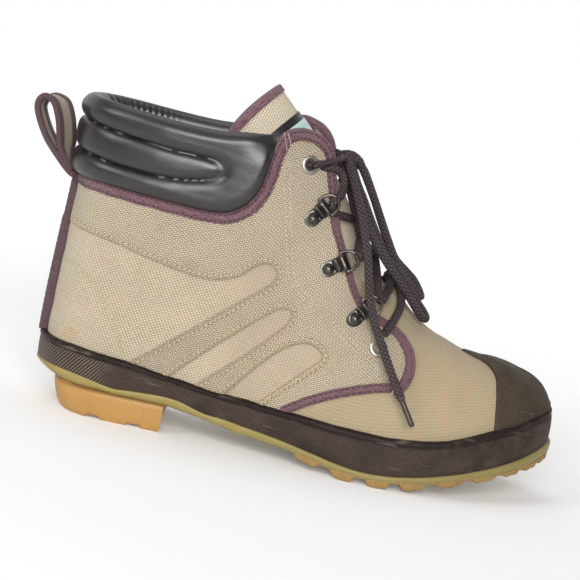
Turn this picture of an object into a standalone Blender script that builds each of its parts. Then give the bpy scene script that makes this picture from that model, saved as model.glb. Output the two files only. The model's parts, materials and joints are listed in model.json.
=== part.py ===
"""Lace-up ankle boot with a canvas upper, a padded collar and a lugged gum sole (right foot).

Frame: +X towards the toe, +Y towards the other foot (medial), +Z up; the origin lies on the
floor under the centre of the heel. Tables and sizes are in millimetres; meshes are in metres.

The form comes from one surface, last_point(s, v). s runs once round the shoe through the rows
of LAST, from the back seam along the lateral side to the toe and back along the medial side.
v runs up each row from the feather edge (0) to the rim or the ridge of the instep (1). The
upper, foxing, toe cap and collar are all cut from that surface at their own offsets.
"""
import math

import bmesh
import bpy
import numpy as np

MM = 0.001            # metres in a millimetre
GAP = 0.3             # clearance between pieces that touch

# ---------------------------------------------------------------- driving sizes
UPPER_WALL = 2.6      # canvas with its lining
FOXING_THICK = 3.0
CAP_THICK = 2.0
RIM_OUT = 1.4         # how far the outsole stands out past the foxing
INSOLE_THICK = 4.0
TONGUE_THICK = 3.0
LACE_DIAMETER = 4.8
WIRE_RADIUS = 1.05    # D-ring wire

# The last. Each row is one section from the feather edge up to the rim or the ridge, given by
# four control points of a cubic: foot, low, high and top. x and z are shared by both sides;
# lat and med are the distances from the centre plane to each side.
LAST_COLUMNS = ("foot_x", "foot_z", "foot_lat", "foot_med", "low_x", "low_z", "low_lat", "low_med",
                "high_x", "high_z", "high_lat", "high_med", "top_x", "top_z", "top_half", "top_y")
LAST = (
    (-45.0, 25.2, 0.0, 0.0, -47.5, 70.0, 0.0, 0.0, -42.0, 126.0, 0.0, 0.0, -43.5, 181.0, 0.0, 0.0),
    (-37.0, 24.9, 19.5, 19.5, -39.0, 68.0, 21.5, 21.5, -34.0, 127.0, 20.5, 20.5, -34.5, 180.5, 22.5, 0.0),
    (-18.0, 23.2, 28.8, 28.3, -19.0, 66.0, 32.5, 32.0, -16.0, 128.0, 29.5, 29.5, -13.0, 179.0, 33.0, 0.0),
    (6.0, 21.0, 31.8, 30.5, 6.0, 64.0, 35.5, 34.5, 8.0, 130.0, 33.0, 33.0, 12.0, 177.5, 37.0, 0.0),
    (33.0, 21.0, 33.0, 29.5, 34.0, 63.0, 37.5, 35.5, 38.0, 133.0, 35.0, 34.5, 43.0, 179.0, 37.0, 0.0),
    (61.0, 17.5, 35.5, 28.5, 64.0, 60.0, 41.0, 38.0, 71.0, 139.0, 39.0, 37.5, 74.0, 188.5, 31.0, 0.0),
    (88.0, 15.0, 40.0, 30.5, 92.0, 56.0, 46.0, 41.0, 110.0, 158.0, 40.0, 39.0, 109.0, 186.0, 0.0, 0.0),
    (116.0, 11.5, 46.0, 37.0, 116.0, 50.0, 50.0, 45.0, 125.0, 143.0, 35.0, 34.0, 121.0, 148.0, 0.0, 0.0),
    (143.0, 7.5, 50.0, 45.0, 141.0, 46.0, 53.0, 50.0, 141.5, 116.0, 31.0, 30.0, 138.0, 120.0, 0.0, 0.0),
    (168.0, 8.5, 50.0, 48.5, 165.0, 43.0, 53.0, 51.5, 162.0, 94.4, 33.0, 32.0, 157.0, 98.0, 0.0, 0.5),
    (194.0, 13.5, 45.0, 46.5, 192.0, 44.0, 47.5, 48.5, 183.0, 82.9, 32.0, 32.0, 176.0, 85.3, 0.0, 1.0),
    (219.0, 20.5, 34.0, 40.0, 221.0, 48.0, 36.5, 42.0, 216.0, 76.4, 25.0, 29.0, 198.0, 77.0, 0.0, 1.5),
    (237.0, 27.0, 20.0, 31.0, 239.0, 53.0, 21.5, 32.5, 238.0, 73.4, 15.5, 24.5, 211.5, 75.4, 0.0, 2.5),
    (248.5, 33.0, 7.0, 20.0, 250.5, 57.0, 7.5, 21.0, 248.6, 68.0, 4.5, 16.0, 222.0, 73.4, 0.0, 4.0),
    (252.5, 36.0, -6.0, 6.0, 252.0, 59.0, -6.0, 6.0, 246.6, 68.4, -5.5, 5.5, 229.0, 72.3, 0.0, 5.0),
)
LAST_TABLE = np.array(LAST)
TOE_ROW = len(LAST) - 1             # s of the toe; s of a medial place is 2 * TOE_ROW - s
CAP_ROW = 11.0                      # the row that the toe cap's rear edge follows
RIM_ROWS = (7.0, 8.0)               # over these rows the two sides of the ridge close up

# Top line of the upper in side view, from the back seam round the tab and down the facing.
TOP_LINE_COLUMNS = ("x", "z")
TOP_LINE = (
    (-43.0, 134.5), (-23.0, 133.5), (5.0, 132.2), (33.0, 131.3), (45.0, 133.0), (54.5, 139.5),
    (60.3, 150.8), (62.6, 167.2), (64.5, 176.8), (69.0, 183.3), (77.0, 186.4), (87.0, 184.3),
    (94.3, 178.4), (97.8, 172.0), (100.0, 162.8), (102.5, 154.3), (106.5, 140.0), (113.3, 125.7),
    (120.2, 112.6),
)
THROAT_TURN = ((7.95, 0.735), (8.35, 0.83), (8.5, 1.0))    # (s, v) round the foot of the throat

# Top edge of the foxing in side view, (x, z).
FOXING_TOP = (
    (-48.0, 40.3), (-26.0, 39.3), (2.0, 37.1), (30.0, 34.2), (59.0, 31.2), (87.0, 30.3), (115.0, 30.2),
    (142.0, 28.8), (157.0, 28.7), (171.0, 29.7), (180.0, 30.8), (192.5, 33.1), (202.0, 35.8),
    (216.0, 41.0), (230.0, 46.0), (243.0, 51.8), (252.0, 56.6),
)


# ---------------------------------------------------------------- curves
def ring_bends(values):
    """Second derivatives that make a closed cubic through values at 0, 1, 2 ... smooth."""
    count = len(values)
    flat = values.reshape(count, -1)
    matrix = 4 * np.eye(count) + np.roll(np.eye(count), 1, 0) + np.roll(np.eye(count), -1, 0)
    change = 6 * (np.roll(flat, 1, 0) - 2 * flat + np.roll(flat, -1, 0))
    return np.linalg.solve(matrix, change).reshape(values.shape)


def ring_spline(values, bends, at):
    """The closed smooth curve through values, read at the places in at."""
    count = len(values)
    low = np.floor(at).astype(int)
    part = (at - low).reshape((-1,) + (1,) * (values.ndim - 1))
    here, ahead = low % count, (low + 1) % count
    rest = 1 - part
    return (rest * values[here] + part * values[ahead]
            + ((rest ** 3 - rest) * bends[here] + (part ** 3 - part) * bends[ahead]) / 6)


def smooth_curve(points, at):
    """Open curve through points (Catmull-Rom), read at the fractions at, 0 to 1 by point number."""
    points = np.asarray(points, float)
    padded = np.vstack([2 * points[0] - points[1], points, 2 * points[-1] - points[-2]])
    place = np.clip(np.asarray(at, float), 0, 1) * (len(points) - 1)
    low = np.minimum(place.astype(int), len(points) - 2)
    t = (place - low)[:, None]
    p0, p1, p2, p3 = (padded[low + k] for k in range(4))
    return 0.5 * (2 * p1 + (p2 - p0) * t + (2 * p0 - 5 * p1 + 4 * p2 - p3) * t ** 2
                  + (3 * p1 - p0 - 3 * p2 + p3) * t ** 3)


def even_curve(points, count, finer=20):
    """count points at even distances along the smooth curve through points."""
    dense = smooth_curve(points, np.linspace(0, 1, finer * len(points)))
    walked = np.concatenate([[0], np.cumsum(np.linalg.norm(np.diff(dense, axis=0), axis=1))])
    stops = np.linspace(0, walked[-1], count)
    return np.stack([np.interp(stops, walked, dense[:, k]) for k in range(dense.shape[1])], axis=1)


def ease(value, start, end):
    """0 before start, 1 after end, and a smooth rise between."""
    t = np.clip((value - start) / (end - start), 0, 1)
    return t * t * (3 - 2 * t)


# ---------------------------------------------------------------- the last
def last_rings():
    """The four control points of every row all round the shoe: an array rows x 4 x (x, y, z)."""
    t = LAST_TABLE
    sides = []
    for sign, foot, low, high in ((-1, 2, 6, 10), (1, 3, 7, 11)):
        top_y = t[:, 15] + sign * t[:, 14]
        sides.append(np.stack([
            np.stack([t[:, 0], sign * t[:, foot], t[:, 1]], 1),
            np.stack([t[:, 4], sign * t[:, low], t[:, 5]], 1),
            np.stack([t[:, 8], sign * t[:, high], t[:, 9]], 1),
            np.stack([t[:, 12], top_y, t[:, 13]], 1)], 1))
    return np.concatenate([sides[0], sides[1][-2:0:-1]])


RINGS = last_rings()
RING_BENDS = ring_bends(RINGS)


def last_point(s, v):
    """Points of the last at row place s and height share v: a cubic in v between the four
    control points, each read from its own closed smooth curve round the shoe."""
    s, v = np.broadcast_arrays(np.asarray(s, float), np.asarray(v, float))
    shape = s.shape
    s, v = s.ravel(), v.ravel()[:, None]
    control = ring_spline(RINGS, RING_BENDS, s)
    mirrored = ring_spline(RINGS, RING_BENDS, 2 * TOE_ROW - s)
    side_row = TOE_ROW - np.abs(TOE_ROW - s)
    closing = ease(side_row, *RIM_ROWS)
    middle = (control[:, 3, 1] + mirrored[:, 3, 1]) / 2
    control[:, 3, 1] += closing * (middle - control[:, 3, 1])
    point = ((1 - v) ** 3 * control[:, 0] + 3 * v * (1 - v) ** 2 * control[:, 1]
             + 3 * v ** 2 * (1 - v) * control[:, 2] + v ** 3 * control[:, 3])
    return point.reshape(shape + (3,))


def last_normal(s, v, step=0.02):
    """Outward unit normals of the last: the cross product of its two slopes."""
    v = np.clip(v, 0.0, 0.985)
    along = last_point(s + step, v) - last_point(s - step, v)
    up = last_point(s, v + step / 2) - last_point(s, v - step / 2)
    normal = np.cross(along, up)
    return normal / np.linalg.norm(normal, axis=-1, keepdims=True)


def last_offset(s, v, out):
    """Points at the distance out from the last, outwards."""
    s, v, out = np.broadcast_arrays(np.asarray(s, float), np.asarray(v, float), np.asarray(out, float))
    return last_point(s, v) + out[..., None] * last_normal(s, v)


def medial(s):
    """The place on the medial side across from s."""
    return 2 * TOE_ROW - s


def find_place(x, z, s, v):
    """The (s, v) on the lateral side whose side view is (x, z), by Newton steps from a guess."""
    step = 1e-3
    for _ in range(30):
        here = last_point(s, v)[0]
        by_s = (last_point(s + step, v)[0] - here) / step
        by_v = (last_point(s, v + step)[0] - here) / step
        miss = np.array([x - here[0], z - here[2]])
        slope = np.array([[by_s[0], by_v[0]], [by_s[2], by_v[2]]])
        move = np.clip(np.linalg.solve(slope, miss), -0.3, 0.3)
        s, v = s + move[0:1], v + move[1:2]
    return s[0], v[0]


def place_line(line, start=(0.05, 0.7)):
    """The (s, v) of each point of a side-view line, each found from the one before."""
    places, guess = [], start
    for x, z in line:
        guess = find_place(x, z, np.array([guess[0]]), np.array([guess[1]]))
        places.append(guess)
    return np.array(places)


def height_share(s, height_line, rise=0.0):
    """The share v at which row s reaches the height that height_line gives at its x."""
    line = np.array(height_line)
    low, high = np.zeros_like(s), np.full_like(s, 0.9)
    for _ in range(30):
        middle = (low + high) / 2
        point = last_point(s, middle)
        under = point[..., 2] < np.interp(point[..., 0], line[:, 0], line[:, 1]) + rise
        low, high = np.where(under, middle, low), np.where(under, high, middle)
    return low


def feather_outline(rows, out=0.0):
    """The feather edge in plan at the row places rows, pushed out sideways, with its height."""
    step = 0.02
    here = last_point(rows, np.zeros_like(rows))
    slope = last_point(rows + step, np.zeros_like(rows)) - last_point(rows - step, np.zeros_like(rows))
    normal = np.stack([-slope[..., 1], slope[..., 0]], -1)
    normal = -normal / np.linalg.norm(normal, axis=-1, keepdims=True)
    outline = here.copy()
    outline[..., :2] += out * normal
    return outline


# ---------------------------------------------------------------- meshes and materials
def material(name, color, roughness, metallic=0.0):
    """A plain surface of one colour."""
    result = bpy.data.materials.new(name)
    result.use_nodes = True
    shader = result.node_tree.nodes["Principled BSDF"]
    shader.inputs["Base Color"].default_value = (*color, 1.0)
    shader.inputs["Roughness"].default_value = roughness
    shader.inputs["Metallic"].default_value = metallic
    return result


def mesh_object(name, points, faces, look, weld=0.0):
    """An object from points in millimetres; faces are turned outwards."""
    mesh = bpy.data.meshes.new(name)
    mesh.from_pydata([tuple(p) for p in np.asarray(points) * MM], [], [tuple(f) for f in faces])
    work = bmesh.new()
    work.from_mesh(mesh)
    if weld:
        bmesh.ops.remove_doubles(work, verts=work.verts, dist=weld * MM)
    bmesh.ops.recalc_face_normals(work, faces=work.faces)
    work.to_mesh(mesh)
    work.free()
    mesh.shade_smooth()
    mesh.set_sharp_from_angle(angle=math.radians(40))
    result = bpy.data.objects.new(name, mesh)
    result.data.materials.append(look)
    bpy.context.scene.collection.objects.link(result)
    return result


def grid_faces(columns, rows, first, closed=False, flip=False):
    """Quads of a grid of points numbered column by column from first."""
    faces = []
    for i in range(columns if closed else columns - 1):
        ahead = (i + 1) % columns
        for j in range(rows - 1):
            quad = (first + i * rows + j, first + ahead * rows + j,
                    first + ahead * rows + j + 1, first + i * rows + j + 1)
            faces.append(quad[::-1] if flip else quad)
    return faces


def walled(name, outer, inner, look, closed=False, open_top=(), weld=0.0):
    """A wall between an outer and an inner grid (columns x rows x 3). Columns whose number is
    in open_top have no rim at their top, because their top row meets the other side."""
    columns, rows = outer.shape[:2]
    total = columns * rows
    faces = grid_faces(columns, rows, 0, closed)
    faces += grid_faces(columns, rows, total, closed, flip=True)
    for i in range(columns if closed else columns - 1):
        ahead = (i + 1) % columns
        faces.append((i * rows, total + i * rows, total + ahead * rows, ahead * rows))
        if i not in open_top:
            top, top_ahead = i * rows + rows - 1, ahead * rows + rows - 1
            faces.append((top, top_ahead, total + top_ahead, total + top))
    if not closed:
        for j in range(rows - 1):
            faces.append((j, j + 1, total + j + 1, total + j))
            last = (columns - 1) * rows + j
            faces.append((last, total + last, total + last + 1, last + 1))
    points = np.concatenate([outer.reshape(-1, 3), inner.reshape(-1, 3)])
    return mesh_object(name, points, faces, look, weld)


def tube_mesh(name, path, radius, look, sides=8, closed=False):
    """A round tube along path, with flat caps or closed into a ring."""
    path = np.asarray(path, float)
    count = len(path)
    if closed:
        tangent = np.roll(path, -1, 0) - np.roll(path, 1, 0)
    else:
        tangent = np.gradient(path, axis=0)
    tangent /= np.linalg.norm(tangent, axis=1, keepdims=True)
    reference = np.array([0.31, 0.82, 0.48])
    side = np.cross(tangent, reference)
    side /= np.linalg.norm(side, axis=1, keepdims=True)
    third = np.cross(tangent, side)
    turn = np.arange(sides) * 2 * math.pi / sides
    rings = path[:, None] + radius * (
        np.cos(turn)[None, :, None] * side[:, None] + np.sin(turn)[None, :, None] * third[:, None])
    faces = []
    for i in range(count if closed else count - 1):
        ahead = (i + 1) % count
        for j in range(sides):
            k = (j + 1) % sides
            faces.append((i * sides + j, i * sides + k, ahead * sides + k, ahead * sides + j))
    if not closed:
        faces.append(tuple(range(sides))[::-1])
        faces.append(tuple((count - 1) * sides + j for j in range(sides)))
    return mesh_object(name, rings.reshape(-1, 3), faces, look)


def apply_boolean(target, tool, operation):
    """Joins tool to target or cuts it away, then removes the tool."""
    change = target.modifiers.new(operation.lower(), "BOOLEAN")
    change.operation = operation
    change.object = tool
    bpy.context.view_layer.update()
    evaluated = target.evaluated_get(bpy.context.evaluated_depsgraph_get())
    result = bpy.data.meshes.new_from_object(evaluated)
    target.modifiers.clear()
    old = target.data
    target.data = result
    bpy.data.meshes.remove(old)
    bpy.data.objects.remove(tool)
    return target


# ---------------------------------------------------------------- upper
def top_places(count):
    """(s, v) along the upper's top edge on the lateral side, from the back seam to the throat."""
    places = np.vstack([place_line(TOP_LINE), THROAT_TURN])
    places[0, 0] = 0.0
    return even_curve(places * (1, 6), count) / (1, 6)


def around(lateral):
    """A full ring of columns: the lateral ones, heel first, then the medial ones backwards."""
    s, v = lateral
    return np.concatenate([s, medial(s[-2:0:-1])]), np.concatenate([v, v[-2:0:-1]])


def upper_columns(edge_columns=29, ridge_columns=11, rows=9):
    """Row places and height shares of the upper's grid. Columns under the top edge lean so that
    their tops follow it; the rest run up to the ridge of the vamp."""
    tops = top_places(edge_columns)
    even = np.linspace(0, tops[-1, 0], edge_columns)
    feet = 0.6 * tops[:, 0] + 0.4 * even
    ridge = np.linspace(tops[-1, 0], TOE_ROW, ridge_columns)[1:]
    tops = np.vstack([tops, np.stack([ridge, np.ones_like(ridge)], 1)])
    feet = np.concatenate([feet, ridge])
    share = np.linspace(0, 1, rows)
    s = feet[:, None] + (tops[:, 0] - feet)[:, None] * share
    v = tops[:, 1][:, None] * share
    s[0], s[-1] = 0.0, TOE_ROW
    return around((s, v)), edge_columns - 1


def ridge_share(s, v, out):
    """Offset points whose ridge row is shared: both sides take the mean of their two points."""
    grid = last_offset(s, v, out)
    across = last_offset(medial(s), v, out)
    on_ridge = (v > 0.999) & (np.abs(TOE_ROW - s) < TOE_ROW - RIM_ROWS[1] + 1e-6)
    grid[on_ridge] = (grid[on_ridge] + across[on_ridge]) / 2
    return grid


def make_upper(look):
    """The hollow canvas wall: open underneath, at the collar and down the throat."""
    (s, v), throat = upper_columns()
    count = len(s)
    ridge = set(range(throat, count - throat))
    inner = ridge_share(s, v, -UPPER_WALL)
    inner[:, 0, 2] = last_point(s[:, 0], 0 * s[:, 0])[:, 2]
    return walled("upper", ridge_share(s, v, 0.0), inner, look, closed=True,
                  open_top=ridge, weld=0.02)


def make_foxing(look, columns=56, rows=4):
    """The rubber band round the feather edge, thicker in the middle of its height."""
    s = np.linspace(0, 2 * TOE_ROW, columns, endpoint=False)[:, None]
    top = height_share(s[:, 0], FOXING_TOP)[:, None]
    share = np.linspace(0, 1, rows)
    v = top * share
    thick = FOXING_THICK - 1.0 * share ** 4
    outer = last_offset(s, v, GAP + thick)
    inner = last_offset(s, v, 2 * GAP)
    for grid in (outer, inner):
        grid[:, 0, 2] = last_point(s[:, 0], 0 * s[:, 0])[:, 2]
    return walled("foxing", outer, inner, look, closed=True)


def make_toe_cap(look, columns=19, rows=7):
    """The rubber cap over the toe, from the foxing's top edge up over the ridge."""
    s = np.linspace(CAP_ROW, medial(CAP_ROW), columns)[:, None]
    low = height_share(s[:, 0], FOXING_TOP, rise=0.6)[:, None]
    v = low + (1 - low) * np.linspace(0, 1, rows)
    s = np.broadcast_to(s, v.shape)
    return walled("toe_cap", ridge_share(s, v, GAP + CAP_THICK), ridge_share(s, v, 2 * GAP), look,
                  open_top=set(range(columns)), weld=0.02)


def make_collar(look, half_columns=13, rows=11):
    """The padded ring in three rolls above the canvas, open at the front between the tabs."""
    line = np.array(TOP_LINE[:9])
    slope = np.gradient(line, axis=0)
    slope /= np.linalg.norm(slope, axis=1, keepdims=True)
    clear = 0.8 * np.stack([-slope[:, 1], slope[:, 0]], 1)
    low = place_line(line + clear)
    low[0, 0] = 0.0
    low = even_curve(low * (1, 6), half_columns) / (1, 6)
    front = 4.66                                    # row place of the rim's front end
    top = np.stack([np.linspace(0, front, half_columns), np.full(half_columns, 0.99)], 1)
    share = np.linspace(0, 1, rows)
    s = low[:, :1] + (top[:, :1] - low[:, :1]) * share
    v = low[:, 1:] + (top[:, 1:] - low[:, 1:]) * share
    end = 1 - ease(np.linspace(0, 1, half_columns), 0.86, 1.0)[:, None]
    rolls = np.abs(np.sin(3 * math.pi * share)) ** 0.8
    out = end * (2.2 + 3.4 * rolls) + 0.4
    inside = -(4.0 + 4.8 * end * np.sin(math.pi * np.clip(share + 0.12, 0, 1)) ** 0.5)
    out = out - 3.5 * ease(share, 0.9, 1.0)
    s = np.concatenate([medial(s[:0:-1]) - 2 * TOE_ROW, s])
    v = np.concatenate([v[:0:-1], v])
    out, inside = (np.concatenate([a[:0:-1], a]) for a in (out, inside))
    return walled("collar", last_offset(s, v, out), last_offset(s, v, inside), look)


# ---------------------------------------------------------------- tongue
# Its ridge in side view from under the vamp to the top, the half width of its arch and how far
# the arch drops to its edges.
TONGUE_COLUMNS = ("x", "z", "half", "drop")
TONGUE = (
    (151.6, 98.8, 29.0, 33.0), (141.0, 106.8, 29.5, 34.0), (129.5, 119.4, 29.5, 35.0),
    (119.5, 134.5, 29.0, 35.0), (110.5, 149.0, 28.0, 35.0), (99.5, 163.2, 27.0, 35.0),
    (87.0, 178.2, 26.0, 35.0), (74.0, 191.0, 25.5, 34.0), (57.5, 206.5, 25.0, 33.0),
)


def tongue_point(t, turn, inset=0.0):
    """Point of the tongue at t (0 at the vamp, 1 at the top) and turn (-1 to 1 across its arch):
    the ridge plus half * sin and drop * (1 - cos) of the angle, in the plane across the ridge."""
    row = smooth_curve(TONGUE, t)
    slope = smooth_curve(TONGUE, t + 0.01)[:, :2] - smooth_curve(TONGUE, t - 0.01)[:, :2]
    slope /= np.linalg.norm(slope, axis=1, keepdims=True)
    inwards = np.stack([-slope[:, 1], slope[:, 0]], 1)
    inwards *= np.sign(inwards[:, :1]) * -1
    angle = turn * math.radians(86)
    half, drop = row[:, 2] - inset, row[:, 3] - inset
    fall = drop * (1 - np.cos(angle)) + inset
    side = row[:, :2] + inwards * fall[:, None]
    return np.stack([side[:, 0], half * np.sin(angle), side[:, 1]], 1)


def make_tongue(look, columns=11, rows=11):
    """An arched strip lying under the facings, its top edge square to its ridge."""
    t, turn = np.meshgrid(np.linspace(0.01, 0.99, rows), np.linspace(-1, 1, columns))
    outer = tongue_point(t.ravel(), turn.ravel()).reshape(columns, rows, 3)
    inner = tongue_point(t.ravel(), turn.ravel(), TONGUE_THICK).reshape(columns, rows, 3)
    return walled("tongue", outer, inner, look)


# ---------------------------------------------------------------- sole
# Underside of the outsole between its lugs and the tread surface, by x.
PLATE_UNDER = (
    (-50.0, 22.6), (-35.0, 19.0), (-20.0, 16.2), (34.0, 16.2), (45.0, 15.3), (60.0, 13.2),
    (75.0, 10.8), (90.0, 10.0), (105.0, 9.0), (116.0, 7.0), (130.0, 4.4), (143.0, 3.2), (157.0, 3.2),
    (170.0, 4.2), (185.0, 6.4), (200.0, 9.8), (215.0, 13.4), (230.0, 17.3), (243.0, 21.0),
    (252.0, 25.5), (258.0, 29.5),
)
TREAD = (
    (110.0, 6.0), (126.0, 2.6), (137.0, 0.0), (166.0, 0.0), (176.0, 1.8), (188.0, 4.6), (202.0, 8.0),
    (214.0, 11.4), (229.0, 15.4), (242.0, 18.8), (251.0, 22.6), (258.0, 26.5),
)
HEEL_FRONT = 31.5
BREAST_HOLLOW = 1.0
HEEL_SQUARE = 0.75                  # 1 is a half ellipse; less is squarer


def read_line(line, x):
    """Height of a side-view line at x."""
    line = np.array(line)
    return np.interp(x, line[:, 0], line[:, 1])


def stacked(name, rings, look):
    """A solid from rings of points that start at the heel, go round the lateral side to the toe
    and back; its first and last rings are closed by strips from side to side."""
    count = len(rings[0])
    faces = []
    for level in range(len(rings) - 1):
        for i in range(count):
            ahead = (i + 1) % count
            faces.append((level * count + i, level * count + ahead,
                          (level + 1) * count + ahead, (level + 1) * count + i))
    for first in (0, (len(rings) - 1) * count):
        for i in range(count // 2):
            near, far = (i, i + 1), ((count - i) % count, count - i - 1)
            strip = [near[0], near[1], far[1], far[0]]
            faces.append(tuple(first + k for k in dict.fromkeys(strip)))
    return mesh_object(name, np.concatenate(rings), faces, look)


def sole_ring(rows, out, height):
    """Feather outline pushed out by out, at the height that height(x, feather height) gives."""
    ring = feather_outline(rows, out)
    ring[:, 2] = height(ring[:, 0], ring[:, 2])
    return ring


def lug(s_start, s_end, out, depth):
    """Eight corners of one lug between two row places, from out to out - depth inwards."""
    rows = np.array([s_start, s_end])
    corners = []
    for top in (True, False):
        taper = 0.0 if top else 1.0
        for edge, place in ((0, out - taper), (1, out - depth + taper)):
            ring = feather_outline(rows, place)
            middle = ring.mean(axis=0)
            ring = middle + (ring - middle) * (1 - 0.12 * taper)
            under, tread = read_line(PLATE_UNDER, ring[:, 0]), read_line(TREAD, ring[:, 0])
            ring[:, 2] = under + 1.5 if top else tread
            corners += list(ring if edge == 0 else ring[::-1])
    return corners


def bar(x_start, x_end, lateral_y, medial_y):
    """Eight corners of one straight lug across the middle of the sole."""
    corners = []
    for top in (True, False):
        taper = 0.0 if top else 0.8
        for x, y in ((x_start + taper, lateral_y + taper), (x_end - taper, lateral_y + taper),
                     (x_end - taper, medial_y - taper), (x_start + taper, medial_y - taper)):
            z = read_line(PLATE_UNDER, x) + 1.5 if top else read_line(TREAD, x)
            corners.append(np.array([x, y, float(z)]))
    return corners


LUG_FACES = ((0, 1, 2, 3), (4, 5, 6, 7), (0, 1, 5, 4), (1, 2, 6, 5), (2, 3, 7, 6), (3, 0, 4, 7))
SIDE_LUGS = 9
LUG_SHARE = 0.74                    # of the pitch along the edge
BAR_STARTS = (121.0, 138.0, 155.0, 172.0, 189.0, 206.0)


def make_outsole(look, half_columns=30):
    """The moulded plate with its rim, perimeter lugs and middle bars."""
    lateral = np.linspace(0, TOE_ROW, half_columns)
    rows = np.concatenate([lateral, medial(lateral[-2:0:-1])])
    lip = RIM_OUT * ease(feather_outline(rows)[:, 0], 40, 130)
    rim = (FOXING_THICK + GAP + lip)[:, None]
    heel_in = lambda s: 3.5 * (1 - ease(feather_outline(s)[:, 0], 28, 50))
    under = feather_outline(rows, 1.2)
    inset = heel_in(rows)
    under[:, :2] -= (feather_outline(rows, 1.0)[:, :2] - feather_outline(rows)[:, :2]) * inset[:, None]
    under[:, 2] = read_line(PLATE_UNDER, under[:, 0])
    rings = [
        sole_ring(rows, rim - 0.8, lambda x, z: z - GAP),
        sole_ring(rows, rim, lambda x, z: z - GAP - 0.8),
        sole_ring(rows, rim, lambda x, z: z - 0.65 * (z - read_line(PLATE_UNDER, x))),
        under,
    ]
    plate = stacked("outsole", rings, look)
    edge = np.linspace(6.75, 13.75, SIDE_LUGS + 1)
    blocks = []
    for start, end in zip(edge[:-1], edge[1:]):
        stop = start + LUG_SHARE * (end - start)
        blocks.append(lug(start, stop, FOXING_THICK + 0.5, 15.0))
        blocks.append(lug(medial(stop), medial(start), FOXING_THICK + 0.5, 15.0))
    for x in BAR_STARTS:
        blocks.append(bar(x, x + 9.0, -17.0, 21.0))
    points = np.concatenate(blocks)
    faces = [tuple(8 * k + i for i in face) for k in range(len(blocks)) for face in LUG_FACES]
    lugs = mesh_object("lugs", points, faces, look)
    return apply_boolean(plate, lugs, "UNION")


def heel_ring(z, back, half, front=HEEL_FRONT, steps=14):
    """The heel block's outline: behind x = 0 it is squarer than an ellipse, with straight sides
    from there to the breast."""
    turn = np.linspace(0, math.pi / 2, steps)
    x = back * np.cos(turn) ** HEEL_SQUARE
    y = half * np.sin(turn) ** HEEL_SQUARE
    x = np.concatenate([x, [front * 0.5, front, front - BREAST_HOLLOW]])
    y = np.concatenate([y, [half, half, 0.0]])
    ring = np.stack([x, -y, np.full(len(x), z)], 1)
    other = ring[-2:0:-1] * (1, -1, 1)
    return np.concatenate([ring, other])


def make_heel(look):
    """The gum heel block with a rounded back edge and two grooves across its tread."""
    rings = [heel_ring(16.2, -35.5, 33.0), heel_ring(6.0, -32.6, 32.6), heel_ring(2.0, -30.2, 31.9),
             heel_ring(0.0, -27.6, 30.8)]
    behind = 1 - ease(rings[0][:, 0], -22, -8)
    rings[0][:, 2] = read_line(PLATE_UNDER, rings[0][:, 0]) - GAP * (1 + 1.5 * behind)
    block = stacked("heel", rings, look)
    for x in (-11.0, 12.0):
        groove = mesh_object("groove", [(x + i * 9.0, j * 80.0 - 40.0, k * 3.0 - 1.4)
                                        for k in (0, 1) for j in (0, 1) for i in (0, 1)],
                             [(0, 1, 3, 2), (4, 5, 7, 6), (0, 1, 5, 4), (2, 3, 7, 6), (0, 2, 6, 4),
                              (1, 3, 7, 5)], look)
        apply_boolean(block, groove, "DIFFERENCE")
    return block


def make_insole(look, half_columns=24):
    """The sheet inside, on top of the outsole."""
    lateral = np.linspace(0, TOE_ROW, half_columns)
    rows = np.concatenate([lateral, medial(lateral[-2:0:-1])])
    inset = -(UPPER_WALL + 0.9)
    rings = [sole_ring(rows, inset, lambda x, z: z + INSOLE_THICK), sole_ring(rows, inset, lambda x, z: z)]
    return stacked("insole", rings, look)


# ---------------------------------------------------------------- back of the shoe
SEAM_PROUD = 4.2
SEAM_HALF = 1.7


def make_back_seam(look, rows=12):
    """The proud bound seam down the middle of the heel."""
    low = height_share(np.array([0.0]), FOXING_TOP, rise=0.8)[0]
    high = height_share(np.array([0.0]), ((-60.0, 130.5), (0.0, 130.5)))[0]
    v = np.linspace(low, high, rows)
    near, far = last_offset(0.0, v, GAP + 0.1), last_offset(0.0, v, SEAM_PROUD)
    ring = []
    for base, half in ((near, SEAM_HALF), (far + (far - near) * -0.25, SEAM_HALF), (far, SEAM_HALF * 0.6)):
        ring.append(base + (0, half, 0))
    rounds = ring + [p * (1, -1, 1) for p in ring[::-1]]
    points = np.concatenate(rounds)
    faces = []
    for i in range(6):
        ahead = (i + 1) % 6
        for j in range(rows - 1):
            faces.append((i * rows + j, ahead * rows + j, ahead * rows + j + 1, i * rows + j + 1))
    faces += [tuple(i * rows for i in range(6)), tuple(i * rows + rows - 1 for i in range(6))[::-1]]
    return mesh_object("back_seam", points, faces, look)


# The pull loop in side view (x, z): outside edge from its foot round to its foot, and its eye.
LOOP_OUTSIDE = (
    (-46.5, 131.0), (-51.0, 132.2), (-58.5, 139.5), (-67.5, 150.2), (-74.5, 163.5), (-74.0, 170.5),
    (-68.0, 174.4), (-61.0, 171.6), (-56.6, 163.0), (-54.4, 152.0), (-53.0, 143.0), (-49.5, 137.0),
)
LOOP_EYE = ((-58.2, 144.2), (-65.2, 153.2), (-71.6, 164.3), (-70.4, 170.2), (-64.0, 170.6),
            (-59.5, 162.6), (-56.9, 153.0), (-56.0, 146.2))
LOOP_HALF_WIDTH = 10.0
LOOP_TWIST = 0.12                   # how far the near edge leads the far one, at the top


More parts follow.
